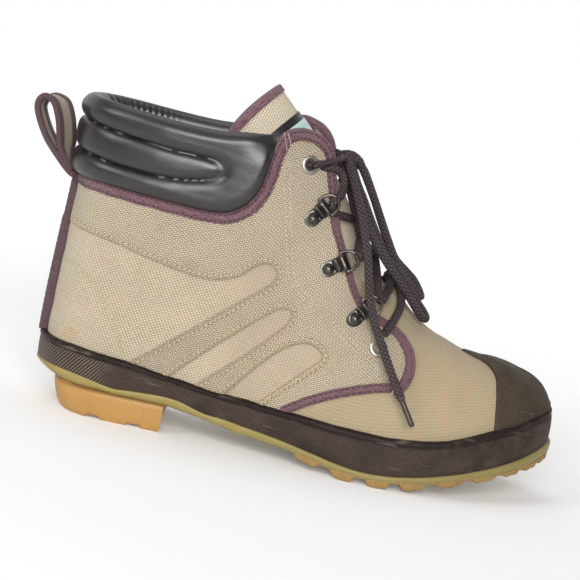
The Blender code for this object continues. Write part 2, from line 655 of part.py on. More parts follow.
def make_pull_loop(look, count=22):
    """A webbing loop: an outline with an eye, spread to the tape's width and a little twisted."""
    outside = even_curve(LOOP_OUTSIDE + LOOP_OUTSIDE[:1], count + 1)[:-1]
    eye = even_curve(LOOP_EYE + LOOP_EYE[:1], count + 1)[:-1]
    points = []
    for line in (outside, eye):
        lift = ease(line[:, 1], 134, 172)
        for side in (-1, 1):
            y = side * (4.0 + (LOOP_HALF_WIDTH - 4.0) * ease(line[:, 1], 131, 150))
            points.append(np.stack([line[:, 0] + LOOP_TWIST * lift * y, y, line[:, 1]], 1))
    faces = []
    for i in range(count):
        ahead = (i + 1) % count
        a, b, c, d = 0, count, 2 * count, 3 * count
        faces += [(a + i, a + ahead, b + ahead, b + i), (c + i, c + ahead, d + ahead, d + i)]
    near_edge = band_faces(outside, eye)
    faces += [tuple(i if i < count else i + count for i in face) for face in near_edge]
    faces += [tuple((i if i < count else i + count) + count for i in face) for face in near_edge]
    return mesh_object("pull_loop", np.concatenate(points), faces, look)


def band_faces(outside, inside):
    """Triangles that fill the band between two outlines of the same number of points: at each
    step the shorter of the two diagonals is taken, starting from the nearest pair of points."""
    count = len(outside)
    start = int(np.argmin(np.linalg.norm(inside - outside[0], axis=1)))
    i, j, faces = 0, 0, []
    while i < count or j < count:
        here, ahead = outside[i % count], outside[(i + 1) % count]
        there, next_there = inside[(start + j) % count], inside[(start + j + 1) % count]
        step_outside = j >= count or (i < count and
                                      np.linalg.norm(ahead - there) < np.linalg.norm(here - next_there))
        if step_outside:
            faces.append((i % count, (i + 1) % count, count + (start + j) % count))
            i += 1
        else:
            faces.append((i % count, count + (start + j + 1) % count, count + (start + j) % count))
            j += 1
    return faces


# ---------------------------------------------------------------- fastenings
EYELETS = {"top": (84.4, 167.8), "bottom": (143.3, 75.5)}
# D-ring clips: the rivet and the middle of the ring, in side view.
CLIPS = {"1": ((91.6, 138.6), (99.5, 149.0)), "2": ((106.2, 113.0), (117.3, 120.3)),
         "3": ((126.3, 88.6), (135.4, 98.4))}
SIDES = {"lateral": 1, "medial": -1}
HOLE_RADIUS = 3.5
BAR_AHEAD = 9.6                     # from the rivet to the ring's straight bar
BAR_HIGH = 2.75
RING_HALF = 5.7                     # half length of the ring's straight bar
RING_REACH = 8.2
RING_LIFT = math.radians(16)
CLIP_HALF = 4.25


def surface_frame(x, z, side):
    """A point of the last and its outward normal at a side-view place on one side."""
    guess = (6.0, 0.6) if x < 130 else (8.2, 0.5)
    s, v = find_place(x, z, np.array([guess[0]]), np.array([guess[1]]))
    s = s if side > 0 else medial(s)
    return last_point(s, v), last_normal(s, v)


def turned(name, profile, centre, axis, look, steps=14):
    """A solid turned round an axis through centre: profile is a closed list of (radius, height)."""
    axis = axis / np.linalg.norm(axis)
    first = np.cross(axis, (0.0, 0.0, 1.0))
    first /= np.linalg.norm(first)
    second = np.cross(axis, first)
    turn = np.arange(steps) * 2 * math.pi / steps
    count = len(profile)
    points = [centre + r * (math.cos(a) * first + math.sin(a) * second) + h * axis
              for a in turn for r, h in profile]
    faces = []
    for i in range(steps):
        ahead = (i + 1) % steps
        for j in range(count):
            k = (j + 1) % count
            if profile[j][0] or profile[k][0]:
                faces.append((i * count + j, ahead * count + j, ahead * count + k, i * count + k))
    return mesh_object(name, points, faces, look, weld=0.005)


def make_eyelet(name, place, side, upper, look):
    """A flanged ring through the upper, which gets a hole for it."""
    point, normal = surface_frame(*place, side)
    hole = turned("hole", ((0.0, -7.0), (HOLE_RADIUS, -7.0), (HOLE_RADIUS, 4.0), (0.0, 4.0)), point, normal,
                  look, steps=12)
    apply_boolean(upper, hole, "DIFFERENCE")
    flange = ((2.5, -3.4), (3.1, -3.4), (3.1, 0.75), (5.2, 0.75), (5.1, 1.4), (4.0, 1.95), (2.9, 1.7))
    return turned(name, flange, point, normal, look, steps=12)


def clip_frame(rivet, ring, side):
    """Rivet point, normal, direction towards the ring and the direction across."""
    point, normal = surface_frame(*rivet, side)
    ring_point, _ = surface_frame(*ring, side)
    ahead = ring_point - point
    ahead -= normal * (ahead @ normal)
    ahead /= np.linalg.norm(ahead)
    return point, normal, ahead, np.cross(normal, ahead)


def make_clip(name, frame, look):
    """A folded strap: flat under the rivet and rolled round the ring's bar."""
    point, normal, ahead, across = frame
    turn_out = np.radians(np.linspace(-90, 185, 10))
    turn_back = turn_out[::-1]
    profile = [(-5.4, 0.55)]
    profile += [(BAR_AHEAD + 2.2 * math.cos(a), BAR_HIGH + 2.2 * math.sin(a)) for a in turn_out]
    profile += [(BAR_AHEAD + 1.38 * math.cos(a), BAR_HIGH + 1.38 * math.sin(a)) for a in turn_back]
    profile += [(BAR_AHEAD - 1.6, 1.55), (-5.4, 1.55)]
    points = [point + t * ahead + h * normal + side * CLIP_HALF * across
              for side in (-1, 1) for t, h in profile]
    count = len(profile)
    faces = [tuple(range(count)), tuple(range(count, 2 * count))[::-1]]
    faces += [(i, (i + 1) % count, count + (i + 1) % count, count + i) for i in range(count)]
    return mesh_object(name, points, faces, look)


def make_rivet(name, frame, look):
    """The domed head on the strap."""
    point, normal = frame[:2]
    dome = ((0.0, 1.85), (3.2, 1.85), (3.1, 2.7), (2.3, 4.0), (1.1, 4.7), (0.0, 4.85))
    return turned(name, dome, point, normal, look, steps=10)


def ring_path(frame):
    """The D ring's wire: a straight bar and a half ellipse that leans off the surface."""
    point, normal, ahead, across = frame
    lean = math.cos(RING_LIFT) * ahead + math.sin(RING_LIFT) * normal
    bar_middle = point + BAR_AHEAD * ahead + BAR_HIGH * normal
    turn = np.linspace(0, math.pi, 11)
    bow = [bar_middle + RING_HALF * math.cos(a) * across + RING_REACH * math.sin(a) ** 0.8 * lean
           for a in turn]
    straight = [bar_middle + side * across for side in (-RING_HALF * 0.72, 0.0, RING_HALF * 0.72)]
    return np.array(bow + straight)


def make_fastenings(upper, metal):
    """Eyelets, clips, rivets and rings on both sides."""
    for side_name, side in SIDES.items():
        for name, place in EYELETS.items():
            make_eyelet(f"eyelet_{name}_{side_name}", place, side, upper, metal)
        for name, (rivet, ring) in CLIPS.items():
            frame = clip_frame(rivet, ring, side)
            make_clip(f"clip_{name}_{side_name}", frame, metal)
            make_rivet(f"rivet_{name}_{side_name}", frame, metal)
            tube_mesh(f"d_ring_{name}_{side_name}", ring_path(frame), WIRE_RADIUS, metal, sides=6, closed=True)


# ---------------------------------------------------------------- laces
LACE_RADIUS = LACE_DIAMETER / 2
KNOT = (104.5, -1.0, 174.5)
# Crests of the crossings over the ridge, from the vamp up: x, z of the lace's middle.
CRESTS = ((142.2, 111.8), (131.2, 122.8), (120.6, 138.4))
LOW_LEG = (143.6, 12.0, 110.0)      # each low run, between its crest and its ring
ROUTES = {
    "lace_loop_near": (
        (108.4, -6.4, 169.5), (110.3, -9.7, 165.0), (111.5, -13.2, 161.0), (118.2, -17.2, 148.1),
        (126.2, -18.3, 136.1), (135.5, -18.8, 125.0), (143.6, -19.8, 116.8), (151.8, -20.9, 109.0),
        (160.4, -17.6, 99.4), (164.9, -14.2, 94.4), (168.2, -9.8, 93.3), (166.3, -6.4, 96.2),
        (160.4, -6.8, 102.2), (153.6, -8.2, 109.6), (145.8, -9.6, 117.6), (137.6, -10.8, 124.0),
        (131.1, -11.4, 133.4), (124.7, -11.6, 143.1), (119.5, -10.2, 151.6), (114.0, -6.6, 159.7),
        (109.8, -1.4, 167.0)),
    "lace_loop_far": (
        (111.9, -0.8, 173.3), (115.0, -0.8, 168.9), (118.4, -0.8, 164.0), (122.3, -0.7, 157.8),
        (125.4, -0.6, 152.8), (131.3, -0.5, 142.3), (136.7, -0.5, 132.9), (142.1, -0.4, 124.0),
        (149.3, 0.2, 115.6), (157.1, 1.4, 107.9), (161.6, 3.4, 103.7), (163.9, 6.4, 102.9),
        (161.8, 8.6, 106.5), (157.5, 9.2, 111.5), (151.4, 9.0, 116.1), (144.7, 8.8, 121.3),
        (138.7, 8.5, 130.3), (132.7, 8.2, 140.4), (126.4, 7.8, 151.1), (119.6, 7.0, 162.4),
        (115.6, 5.8, 168.3), (111.6, 4.9, 171.0)),
    "lace_end_near": (
        (104.7, -7.4, 172.8), (106.6, -13.6, 169.4), (111.0, -21.8, 161.8), (115.8, -29.8, 152.0),
        (120.2, -35.6, 141.7), (124.0, -39.2, 131.6), (127.4, -41.4, 121.6), (130.0, -42.2, 111.0),
        (133.4, -43.0, 100.3), (137.4, -44.2, 91.0), (142.1, -45.8, 82.8), (147.2, -47.8, 74.2),
        (152.3, -50.4, 65.9), (157.2, -52.6, 58.4), (160.6, -54.0, 53.4)),
    "lace_end_far": (
        (104.9, 5.0, 173.2), (106.8, 11.6, 169.9), (111.6, 20.6, 161.8), (116.6, 28.8, 151.8),
        (120.6, 34.6, 140.4), (124.2, 37.6, 129.4), (127.4, 39.6, 118.6), (130.6, 41.4, 107.6),
        (134.2, 43.4, 97.0), (137.8, 45.2, 87.4), (141.4, 47.4, 78.4), (145.0, 49.8, 69.8),
        (148.4, 52.0, 61.6), (151.2, 53.6, 54.6)),
}
AGLET_LENGTH = 17.0


def cord(name, route, radius, look, points):
    """A free length of lace: a round curve through its route."""
    curve = bpy.data.curves.new(name, "CURVE")
    curve.dimensions = "3D"
    curve.bevel_depth = radius * MM
    curve.bevel_resolution = 2
    curve.use_fill_caps = True
    spline = curve.splines.new("POLY")
    path = even_curve(route, points) * MM
    spline.points.add(points - 1)
    for point, place in zip(spline.points, path):
        point.co = (*place, 1.0)
    result = bpy.data.objects.new(name, curve)
    result.data.materials.append(look)
    bpy.context.scene.collection.objects.link(result)
    return result


def crossing_route(side):
    """One lace zigzagging up the throat from ring to ring, starting on the given side."""
    stops = []
    for s, v in ((8.14, 0.56), (8.36, 0.67), (8.47, 0.77), (8.38, 0.85)):
        s = s if side > 0 else medial(s)
        stops.append(last_offset(s, v, LACE_RADIUS + 1.1))
    other = -side
    for crest, clip in zip(CRESTS, ("3", "2", "1")):
        stops.append(np.array([crest[0], 0.0, crest[1]]))
        if clip == "3":
            stops.append(np.array(LOW_LEG) * (1, -other, 1))
        frame = clip_frame(*CLIPS[clip], other)
        tip = ring_path(frame)[5]
        lean = math.cos(RING_LIFT) * frame[2] + math.sin(RING_LIFT) * frame[1]
        stops.append(tip + lean * (LACE_RADIUS + WIRE_RADIUS + GAP))
        other = -other
    return stops


def make_crossings(look):
    """The two laces' runs across the throat, joined where they cross."""
    routes = [crossing_route(side) for side in (1, -1)]
    bodies = [tube_mesh("lace_crossings" if k == 0 else "other_lace", even_curve(route, 30), LACE_RADIUS,
                        look, sides=6) for k, route in enumerate(routes)]
    return apply_boolean(bodies[0], bodies[1], "UNION")


def make_laces(lace, tip):
    """Crossings, knot, two loops and two ends with their aglets."""
    make_crossings(lace)
    knot = turned("lace_knot", ((0.0, -5.2), (3.0, -4.6), (4.6, -2.0), (4.8, 0.6), (3.8, 3.6), (0.0, 4.8)),
                  np.array(KNOT), np.array([0.35, 1.0, 0.2]), lace, steps=10)
    for name, route in ROUTES.items():
        cord(name, route, LACE_RADIUS, lace, 22)
    for name in ("near", "far"):
        route = np.array(ROUTES[f"lace_end_{name}"])
        ahead = route[-1] - route[-2]
        ahead /= np.linalg.norm(ahead)
        start = route[-1] + ahead * GAP * 1.4
        tube_mesh(f"aglet_{name}", [start, start + ahead * AGLET_LENGTH], 1.7, tip, sides=8)
    return knot


# ---------------------------------------------------------------- build
def build():
    """Makes every piece."""
    for old in list(bpy.data.objects):
        bpy.data.objects.remove(old)
    canvas = material("canvas", (0.60, 0.53, 0.38), 0.85)
    rubber = material("dark_rubber", (0.045, 0.030, 0.028), 0.5)
    gum = material("gum_rubber", (0.62, 0.38, 0.10), 0.6)
    leather = material("leatherette", (0.030, 0.022, 0.021), 0.4)
    lining = material("lining", (0.12, 0.10, 0.09), 0.9)
    binding = material("binding", (0.10, 0.035, 0.04), 0.7)
    metal = material("gunmetal", (0.25, 0.25, 0.24), 0.3, 1.0)
    lace = material("lace", (0.05, 0.025, 0.025), 0.8)

    upper = make_upper(canvas)
    make_outsole(gum)
    make_heel(gum)
    make_foxing(rubber)
    make_toe_cap(rubber)
    make_insole(lining)
    make_tongue(canvas)
    make_collar(leather)
    make_back_seam(binding)
    make_pull_loop(binding)
    make_fastenings(upper, metal)
    make_laces(lace, metal)


build()
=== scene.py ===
# %% [markdown]
# # A lace-up ankle boot on its CAD frame
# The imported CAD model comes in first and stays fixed: every piece below lies where the frame
# says, in metres, with +X to the toe, +Y to the other foot and +Z up. Most tables are in
# millimetres, as a shoemaker measures, and are turned into metres when a mesh is made.

# %% Load the frame and measure it
import json
import math

import bmesh
import bpy
import numpy as np
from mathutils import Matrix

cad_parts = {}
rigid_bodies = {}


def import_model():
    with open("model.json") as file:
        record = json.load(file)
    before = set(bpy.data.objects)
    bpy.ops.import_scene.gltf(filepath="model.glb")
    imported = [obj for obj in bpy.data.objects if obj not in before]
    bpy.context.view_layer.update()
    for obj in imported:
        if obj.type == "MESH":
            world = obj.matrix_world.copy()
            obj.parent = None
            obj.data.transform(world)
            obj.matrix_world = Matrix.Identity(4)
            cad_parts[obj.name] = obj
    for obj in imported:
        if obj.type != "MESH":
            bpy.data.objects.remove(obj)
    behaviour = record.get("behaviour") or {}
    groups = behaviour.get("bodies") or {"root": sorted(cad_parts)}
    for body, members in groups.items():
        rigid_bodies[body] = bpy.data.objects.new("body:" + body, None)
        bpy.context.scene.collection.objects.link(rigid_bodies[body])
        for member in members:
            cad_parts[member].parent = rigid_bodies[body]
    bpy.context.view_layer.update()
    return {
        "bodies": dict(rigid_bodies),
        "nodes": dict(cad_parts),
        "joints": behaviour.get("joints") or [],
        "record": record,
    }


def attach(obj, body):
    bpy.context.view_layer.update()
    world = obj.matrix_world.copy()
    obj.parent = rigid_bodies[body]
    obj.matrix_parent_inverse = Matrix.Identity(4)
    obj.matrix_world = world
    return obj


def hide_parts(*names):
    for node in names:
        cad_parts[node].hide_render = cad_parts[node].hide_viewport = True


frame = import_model()
MM = 0.001

# %% [markdown]
# ## Camera, floor and light
# A side portrait of a shoe is taken from a little above its own height with a long lens, so
# that the near and far edges of the sole stay almost level. The camera here leans, so the
# boot seems to stand toe-down. Its axes are written out as the columns of a matrix, which is
# easier to get exactly right than three turning angles.

# %% Camera
AIM = np.array([0.0885, 0.0, 0.0915])
STAND_OFF, RAISED, ROUND, LEAN = 1.1, math.radians(9), math.radians(-1), math.radians(12.15)
back = np.array([math.sin(ROUND) * math.cos(RAISED), -math.cos(ROUND) * math.cos(RAISED), math.sin(RAISED)])
right = np.array([math.cos(ROUND), math.sin(ROUND), 0.0])
up = np.cross(back, right)
columns = np.eye(4)
columns[:3, 0] = math.cos(LEAN) * right + math.sin(LEAN) * up
columns[:3, 1] = math.cos(LEAN) * up - math.sin(LEAN) * right
columns[:3, 2] = back
columns[:3, 3] = AIM + STAND_OFF * back
lens = bpy.data.cameras.new("camera")
lens.angle = math.radians(17.41)
camera = bpy.data.objects.new("camera", lens)
camera.matrix_world = columns.T.tolist()
bpy.context.scene.collection.objects.link(camera)
bpy.context.scene.camera = camera
bpy.context.scene.view_settings.view_transform = "Standard"
print("camera at", np.round(columns[:3, 3], 3))

# %% [markdown]
# A bowl-shaped backdrop has no corner or horizon, so the boot stands on a pale ground with no edge
# behind it. It is a profile turned round the upright axis: flat, then curving up. Its side towards
# the camera is dark, and from under the boot backwards it glows with painted light that grows
# towards the back.

# %% Backdrop and soft light
def turned_grid(profile, steps):
    """Points of a profile of (radius, height) turned round the Z axis: (steps, profile, 3)."""
    turn = np.linspace(0, 2 * math.pi, steps, endpoint=False)[:, None]
    radius, height = np.array(profile, float).T
    return np.stack([radius * np.cos(turn), radius * np.sin(turn), height + 0 * turn], -1)


def grid_quads(columns, rows, ring=False, loop=False, first=0):
    """Corner numbers of the quads of a grid stored column by column. ring joins the last
    column to the first, loop joins the last row to the first."""
    i = np.arange(columns if ring else columns - 1)[:, None]
    j = np.arange(rows if loop else rows - 1)[None]
    here, ahead, higher = i * rows, (i + 1) % columns * rows, (j + 1) % rows
    return np.stack([here + j, ahead + j, ahead + higher, here + higher], -1).reshape(-1, 4) + first


bend = np.radians(np.linspace(0, 90, 12))
floor_profile = [(0.001, 0.0), (0.3, 0.0), (1.2, 0.0), (2.4, 0.0)]
floor_profile += [(2.4 + 1.2 * math.sin(a), 1.2 - 1.2 * math.cos(a)) for a in bend[1:]] + [(3.6, 3.0)]
bowl = turned_grid(floor_profile, 64)
floor_mesh = bpy.data.meshes.new("floor")
floor_mesh.from_pydata(bowl.reshape(-1, 3).tolist(), [], grid_quads(64, len(floor_profile), ring=True).tolist())
floor_mesh.shade_smooth()
floor = bpy.data.objects.new("floor", floor_mesh)
bpy.context.scene.collection.objects.link(floor)
paper = bpy.data.materials.new("paper")
paper.use_nodes = True
nodes, link = paper.node_tree.nodes, paper.node_tree.links.new
spread = nodes.new("ShaderNodeSeparateXYZ")
link(nodes.new("ShaderNodeTexCoord").outputs["Object"], spread.inputs[0])
# painted light: the base colour rises from dark at the camera's side to pale, and the emission rises from none at y =
# -0.3 m to 0.42 at the back.
for socket, low, high, way, start, end in (("Base Color", 0.07, 0.88, 1, -1.1, -0.35),
                                           ("Emission Strength", 0.0, 0.42, 1, -0.3, 0.9)):
    fade = nodes.new("ShaderNodeMapRange")
    link(spread.outputs[way], fade.inputs["Value"])
    for name, value in (("From Min", start), ("From Max", end), ("To Min", low), ("To Max", high)):
        fade.inputs[name].default_value = value
    link(fade.outputs[0], nodes["Principled BSDF"].inputs[socket])
nodes["Principled BSDF"].inputs["Emission Color"].default_value = (1, 1, 1, 1)
nodes["Principled BSDF"].inputs["Roughness"].default_value = 0.9
floor_mesh.materials.append(paper)


def lamp(name, place, size, power, target=(0.09, 0.0, 0.08)):
    """A square soft light at place, facing target."""
    light = bpy.data.lights.new(name, "AREA")
    light.size, light.energy = size, power
    holder = bpy.data.objects.new(name, light)
    z = np.array(place, float) - target
    z /= np.linalg.norm(z)
    x = np.cross((0, 0, 1.0), z)
    x /= np.linalg.norm(x)
    axes = np.eye(4)
    axes[:3, :3] = np.stack([x, np.cross(z, x), z], 1)
    axes[:3, 3] = place
    holder.matrix_world = axes.T.tolist()
    bpy.context.scene.collection.objects.link(holder)


lamp("key", (-1.4, -1.2, 1.2), 0.8, 15.0)
lamp("front", (0.15, -1.9, 0.75), 1.15, 42.0)
lamp("overhead", (-0.2, 0.3, 1.9), 1.2, 7.0)
world = bpy.data.worlds.new("room")
world.use_nodes = True
world.node_tree.nodes["Background"].inputs["Color"].default_value = (1, 1, 1, 1)
world.node_tree.nodes["Background"].inputs["Strength"].default_value = 0.22
bpy.context.scene.world = world

# %% [markdown]
# ## The last
# A shoe is made over a last, a solid foot form, and every piece of it is cut to lie on that
# form. The form here is one surface: s runs once round the boot through the rows of the table,
# and v runs up each row from the feather edge to the rim. Each row is a cubic with four
# control points, and smooth closed curves join the rows. Canvas, rubber and padding are all
# that surface pushed out by their own thickness, so that they fit each other everywhere.

# %% The last's table
# Each row is one section from the feather edge up to the rim or the ridge, given by the four
# control points of a cubic: foot, low, high and top. The first three are written as x, z and the
# distances from the centre plane to the lateral and the medial side; top is x, z, its half
# width and the y of its middle.
LAST = np.array((
    (-45.0, 25.2, 0.0, 0.0, -47.5, 70.0, 0.0, 0.0, -42.0, 126.0, 0.0, 0.0, -43.5, 181.0, 0.0, 0.0),
    (-37.0, 24.9, 19.5, 19.5, -39.0, 68.0, 21.5, 21.5, -34.0, 127.0, 20.5, 20.5, -34.5, 180.5, 22.5, 0.0),
    (-18.0, 23.2, 28.8, 28.3, -19.0, 66.0, 32.5, 32.0, -16.0, 128.0, 29.5, 29.5, -13.0, 179.0, 33.0, 0.0),
    (6.0, 21.0, 31.8, 30.5, 6.0, 64.0, 35.5, 34.5, 8.0, 130.0, 33.0, 33.0, 12.0, 177.5, 37.0, 0.0),
    (33.0, 21.0, 33.0, 29.5, 34.0, 63.0, 37.5, 35.5, 38.0, 133.0, 35.0, 34.5, 43.0, 179.0, 37.0, 0.0),
    (61.0, 17.5, 35.5, 28.5, 64.0, 60.0, 41.0, 38.0, 71.0, 139.0, 39.0, 37.5, 74.0, 188.5, 31.0, 0.0),
    (88.0, 15.0, 40.0, 30.5, 92.0, 56.0, 46.0, 41.0, 110.0, 158.0, 40.0, 39.0, 109.0, 186.0, 0.0, 0.0),
    (116.0, 11.5, 46.0, 37.0, 116.0, 50.0, 50.0, 45.0, 125.0, 143.0, 35.0, 34.0, 121.0, 148.0, 0.0, 0.0),
    (143.0, 7.5, 50.0, 45.0, 141.0, 46.0, 53.0, 50.0, 141.5, 116.0, 31.0, 30.0, 138.0, 120.0, 0.0, 0.0),
    (168.0, 8.5, 50.0, 48.5, 165.0, 43.0, 53.0, 51.5, 162.0, 94.4, 33.0, 32.0, 157.0, 98.0, 0.0, 0.5),
    (194.0, 13.5, 45.0, 46.5, 192.0, 44.0, 47.5, 48.5, 183.0, 82.9, 32.0, 32.0, 176.0, 85.3, 0.0, 1.0),
    (219.0, 20.5, 34.0, 40.0, 221.0, 48.0, 36.5, 42.0, 216.0, 76.4, 25.0, 29.0, 198.0, 77.0, 0.0, 1.5),
    (237.0, 27.0, 20.0, 31.0, 239.0, 53.0, 21.5, 32.5, 238.0, 73.4, 15.5, 24.5, 211.5, 75.4, 0.0, 2.5),
    (248.5, 33.0, 7.0, 20.0, 250.5, 57.0, 7.5, 21.0, 248.6, 68.0, 4.5, 16.0, 222.0, 73.4, 0.0, 4.0),
    (252.5, 36.0, -6.0, 6.0, 252.0, 59.0, -6.0, 6.0, 246.6, 68.4, -5.5, 5.5, 229.0, 72.3, 0.0, 5.0),
))
TOE_ROW = len(LAST) - 1             # s of the toe; s of a medial place is 2 * TOE_ROW - s
CAP_ROW = 11.0                      # the row that the toe cap's rear edge follows
RIM_ROWS = (7.0, 8.0)               # over these rows the two sides of the ridge close up

TOP_LINE = (
    (-43.0, 134.5), (-23.0, 133.5), (5.0, 132.2), (33.0, 131.3), (45.0, 133.0), (54.5, 139.5),
    (60.3, 150.8), (62.6, 167.2), (64.5, 176.8), (69.0, 183.3), (77.0, 186.4), (87.0, 184.3),
    (94.3, 178.4), (97.8, 172.0), (100.0, 162.8), (102.5, 154.3), (106.5, 140.0), (113.3, 125.7),
    (120.2, 112.6),
)

THROAT_TURN = ((7.95, 0.735), (8.35, 0.83), (8.5, 1.0))    # (s, v) round the foot of the throat

FOXING_TOP = (
    (-48.0, 40.3), (-26.0, 39.3), (2.0, 37.1), (30.0, 34.2), (59.0, 31.2), (87.0, 30.3), (115.0, 30.2),
    (142.0, 28.8), (157.0, 28.7), (171.0, 29.7), (180.0, 30.8), (192.5, 33.1), (202.0, 35.8),
    (216.0, 41.0), (230.0, 46.0), (243.0, 51.8), (252.0, 56.6),
)


# %% Smooth curves

def ring_bends(values):
    """Second derivatives that make a closed cubic through values at 0, 1, 2 ... smooth."""
    count = len(values)
    flat = values.reshape(count, -1)
    matrix = 4 * np.eye(count) + np.roll(np.eye(count), 1, 0) + np.roll(np.eye(count), -1, 0)
    change = 6 * (np.roll(flat, 1, 0) - 2 * flat + np.roll(flat, -1, 0))
    return np.linalg.solve(matrix, change).reshape(values.shape)


def ring_spline(values, bends, at):
    """The closed smooth curve through values, read at the places in at."""
    count = len(values)
    low = np.floor(at).astype(int)
    part = (at - low).reshape((-1,) + (1,) * (values.ndim - 1))
    here, ahead = low % count, (low + 1) % count
    rest = 1 - part
    return (rest * values[here] + part * values[ahead]
            + ((rest ** 3 - rest) * bends[here] + (part ** 3 - part) * bends[ahead]) / 6)


def smooth_curve(points, at):
    """Open curve through points (Catmull-Rom), read at the fractions at, 0 to 1 by point number."""
    points = np.asarray(points, float)
    padded = np.vstack([2 * points[0] - points[1], points, 2 * points[-1] - points[-2]])
    place = np.clip(np.asarray(at, float), 0, 1) * (len(points) - 1)
    low = np.minimum(place.astype(int), len(points) - 2)
    t = (place - low)[:, None]
    p0, p1, p2, p3 = (padded[low + k] for k in range(4))
    return 0.5 * (2 * p1 + (p2 - p0) * t + (2 * p0 - 5 * p1 + 4 * p2 - p3) * t ** 2
                  + (3 * p1 - p0 - 3 * p2 + p3) * t ** 3)


def way_along(points, axis=0):
    """Distance walked from the first point of a line to each of its points; in a grid of points,
    axis is the direction that the lines run in."""
    steps = np.linalg.norm(np.diff(points, axis=axis), axis=-1)
    return np.concatenate([0 * np.take(steps, [0], axis), np.cumsum(steps, axis)], axis)


def even_curve(points, count, finer=20):
    """count points at even distances along the smooth curve through points."""
    dense = smooth_curve(points, np.linspace(0, 1, finer * len(points)))
    walked = way_along(dense)
    stops = np.linspace(0, walked[-1], count)
    return np.stack([np.interp(stops, walked, dense[:, k]) for k in range(dense.shape[1])], axis=1)


def read_line(line, x):
    """The second number of a list of pairs, read at x of the first."""
    return np.interp(x, *np.array(line).T)


def ease(value, start, end):
    """0 before start, 1 after end, and a smooth rise between."""
    t = np.clip((value - start) / (end - start), 0, 1)
    return t * t * (3 - 2 * t)


# %% The surface of the last

def last_rings():
    """The four control points of every row all round the shoe: an array rows x 4 x (x, y, z)."""
    t = LAST
    sides = []
    for sign, foot, low, high in ((-1, 2, 6, 10), (1, 3, 7, 11)):
        top_y = t[:, 15] + sign * t[:, 14]
        sides.append(np.stack([
            np.stack([t[:, 0], sign * t[:, foot], t[:, 1]], 1),
            np.stack([t[:, 4], sign * t[:, low], t[:, 5]], 1),
            np.stack([t[:, 8], sign * t[:, high], t[:, 9]], 1),
            np.stack([t[:, 12], top_y, t[:, 13]], 1)], 1))
    return np.concatenate([sides[0], sides[1][-2:0:-1]])


RINGS = last_rings()
RING_BENDS = ring_bends(RINGS)


def last_point(s, v):
    """Points of the last at row place s and height share v: a cubic in v between the four
    control points, each read from its own closed smooth curve round the shoe."""
    s, v = np.broadcast_arrays(np.asarray(s, float), np.asarray(v, float))
    shape = s.shape
    s, v = s.ravel(), v.ravel()[:, None]
    control = ring_spline(RINGS, RING_BENDS, s)
    mirrored = ring_spline(RINGS, RING_BENDS, medial(s))
    side_row = TOE_ROW - np.abs(TOE_ROW - s)
    closing = ease(side_row, *RIM_ROWS)
    middle = (control[:, 3, 1] + mirrored[:, 3, 1]) / 2
    control[:, 3, 1] += closing * (middle - control[:, 3, 1])
    point = ((1 - v) ** 3 * control[:, 0] + 3 * v * (1 - v) ** 2 * control[:, 1]
             + 3 * v ** 2 * (1 - v) * control[:, 2] + v ** 3 * control[:, 3])
    return point.reshape(shape + (3,))


def last_normal(s, v, step=0.02):
    """Outward unit normals of the last: the cross product of its two slopes."""
    v = np.clip(v, 0.0, 0.985)
    along = last_point(s + step, v) - last_point(s - step, v)
    up = last_point(s, v + step / 2) - last_point(s, v - step / 2)
    normal = np.cross(along, up)
    return normal / np.linalg.norm(normal, axis=-1, keepdims=True)


def last_offset(s, v, out):
    """Points at the distance out from the last, outwards."""
    s, v, out = np.broadcast_arrays(np.asarray(s, float), np.asarray(v, float), np.asarray(out, float))
    return last_point(s, v) + out[..., None] * last_normal(s, v)


def medial(s):
    """The place on the medial side across from s."""
    return 2 * TOE_ROW - s


def on_side(s, side):
    """The place s itself on the lateral side, 1, or the one across from it on the medial, -1."""
    return s if side > 0 else medial(s)


def find_place(x, z, s, v):
    """The (s, v) on the lateral side whose side view is (x, z), by Newton steps from a guess."""
    step = 1e-3
    for _ in range(30):
        here = last_point(s, v)[0]
        by_s = (last_point(s + step, v)[0] - here) / step
        by_v = (last_point(s, v + step)[0] - here) / step
        miss = np.array([x - here[0], z - here[2]])
        slope = np.array([[by_s[0], by_v[0]], [by_s[2], by_v[2]]])
        move = np.clip(np.linalg.solve(slope, miss), -0.3, 0.3)
        s, v = s + move[0:1], v + move[1:2]
    return s[0], v[0]


def place_line(line, start=(0.05, 0.7)):
    """The (s, v) of each point of a side-view line, each found from the one before."""
    places, guess = [], start
    for x, z in line:
        guess = find_place(x, z, np.array([guess[0]]), np.array([guess[1]]))
        places.append(guess)
    return np.array(places)


def height_share(s, height_line, rise=0.0):
    """The share v at which row s reaches the height that height_line gives at its x."""
    low, high = np.zeros_like(s), np.full_like(s, 0.9)
    for _ in range(30):
        middle = (low + high) / 2
        point = last_point(s, middle)
        under = point[..., 2] < read_line(height_line, point[..., 0]) + rise
        low, high = np.where(under, middle, low), np.where(under, high, middle)
    return low


def feather_outline(rows, out=0.0):
    """The feather edge in plan at the row places rows, pushed out sideways, with its height."""
    step = 0.02
    here = last_point(rows, np.zeros_like(rows))
    slope = last_point(rows + step, np.zeros_like(rows)) - last_point(rows - step, np.zeros_like(rows))
    normal = np.stack([-slope[..., 1], slope[..., 0]], -1)
    normal = -normal / np.linalg.norm(normal, axis=-1, keepdims=True)
    outline = here.copy()
    outline[..., :2] += out * normal
    return outline

# %% [markdown]
# ## From points to a finished piece
# Every piece ends the same way: an array of points and a list of faces become a mesh whose
# object stays at the origin, with its cloth coordinates and any marks the finish reads, and
# the CAD nodes it stands for are hidden. One helper does that for all of them. Strips,
# tubes and walls are wound in different directions as they are built, and a mirrored half is
# wound the other way round again, so each closed surface is turned to face outward at the end.

# %% A finished piece
def outward(mesh, weld=0.0):
    """Merges points closer than weld in mm, then turns every closed surface to face outward."""
    work = bmesh.new()
    work.from_mesh(mesh)
    if weld:
        bmesh.ops.remove_doubles(work, verts=work.verts, dist=weld * MM)
    bmesh.ops.recalc_face_normals(work, faces=work.faces)
    work.to_mesh(mesh)
    work.free()


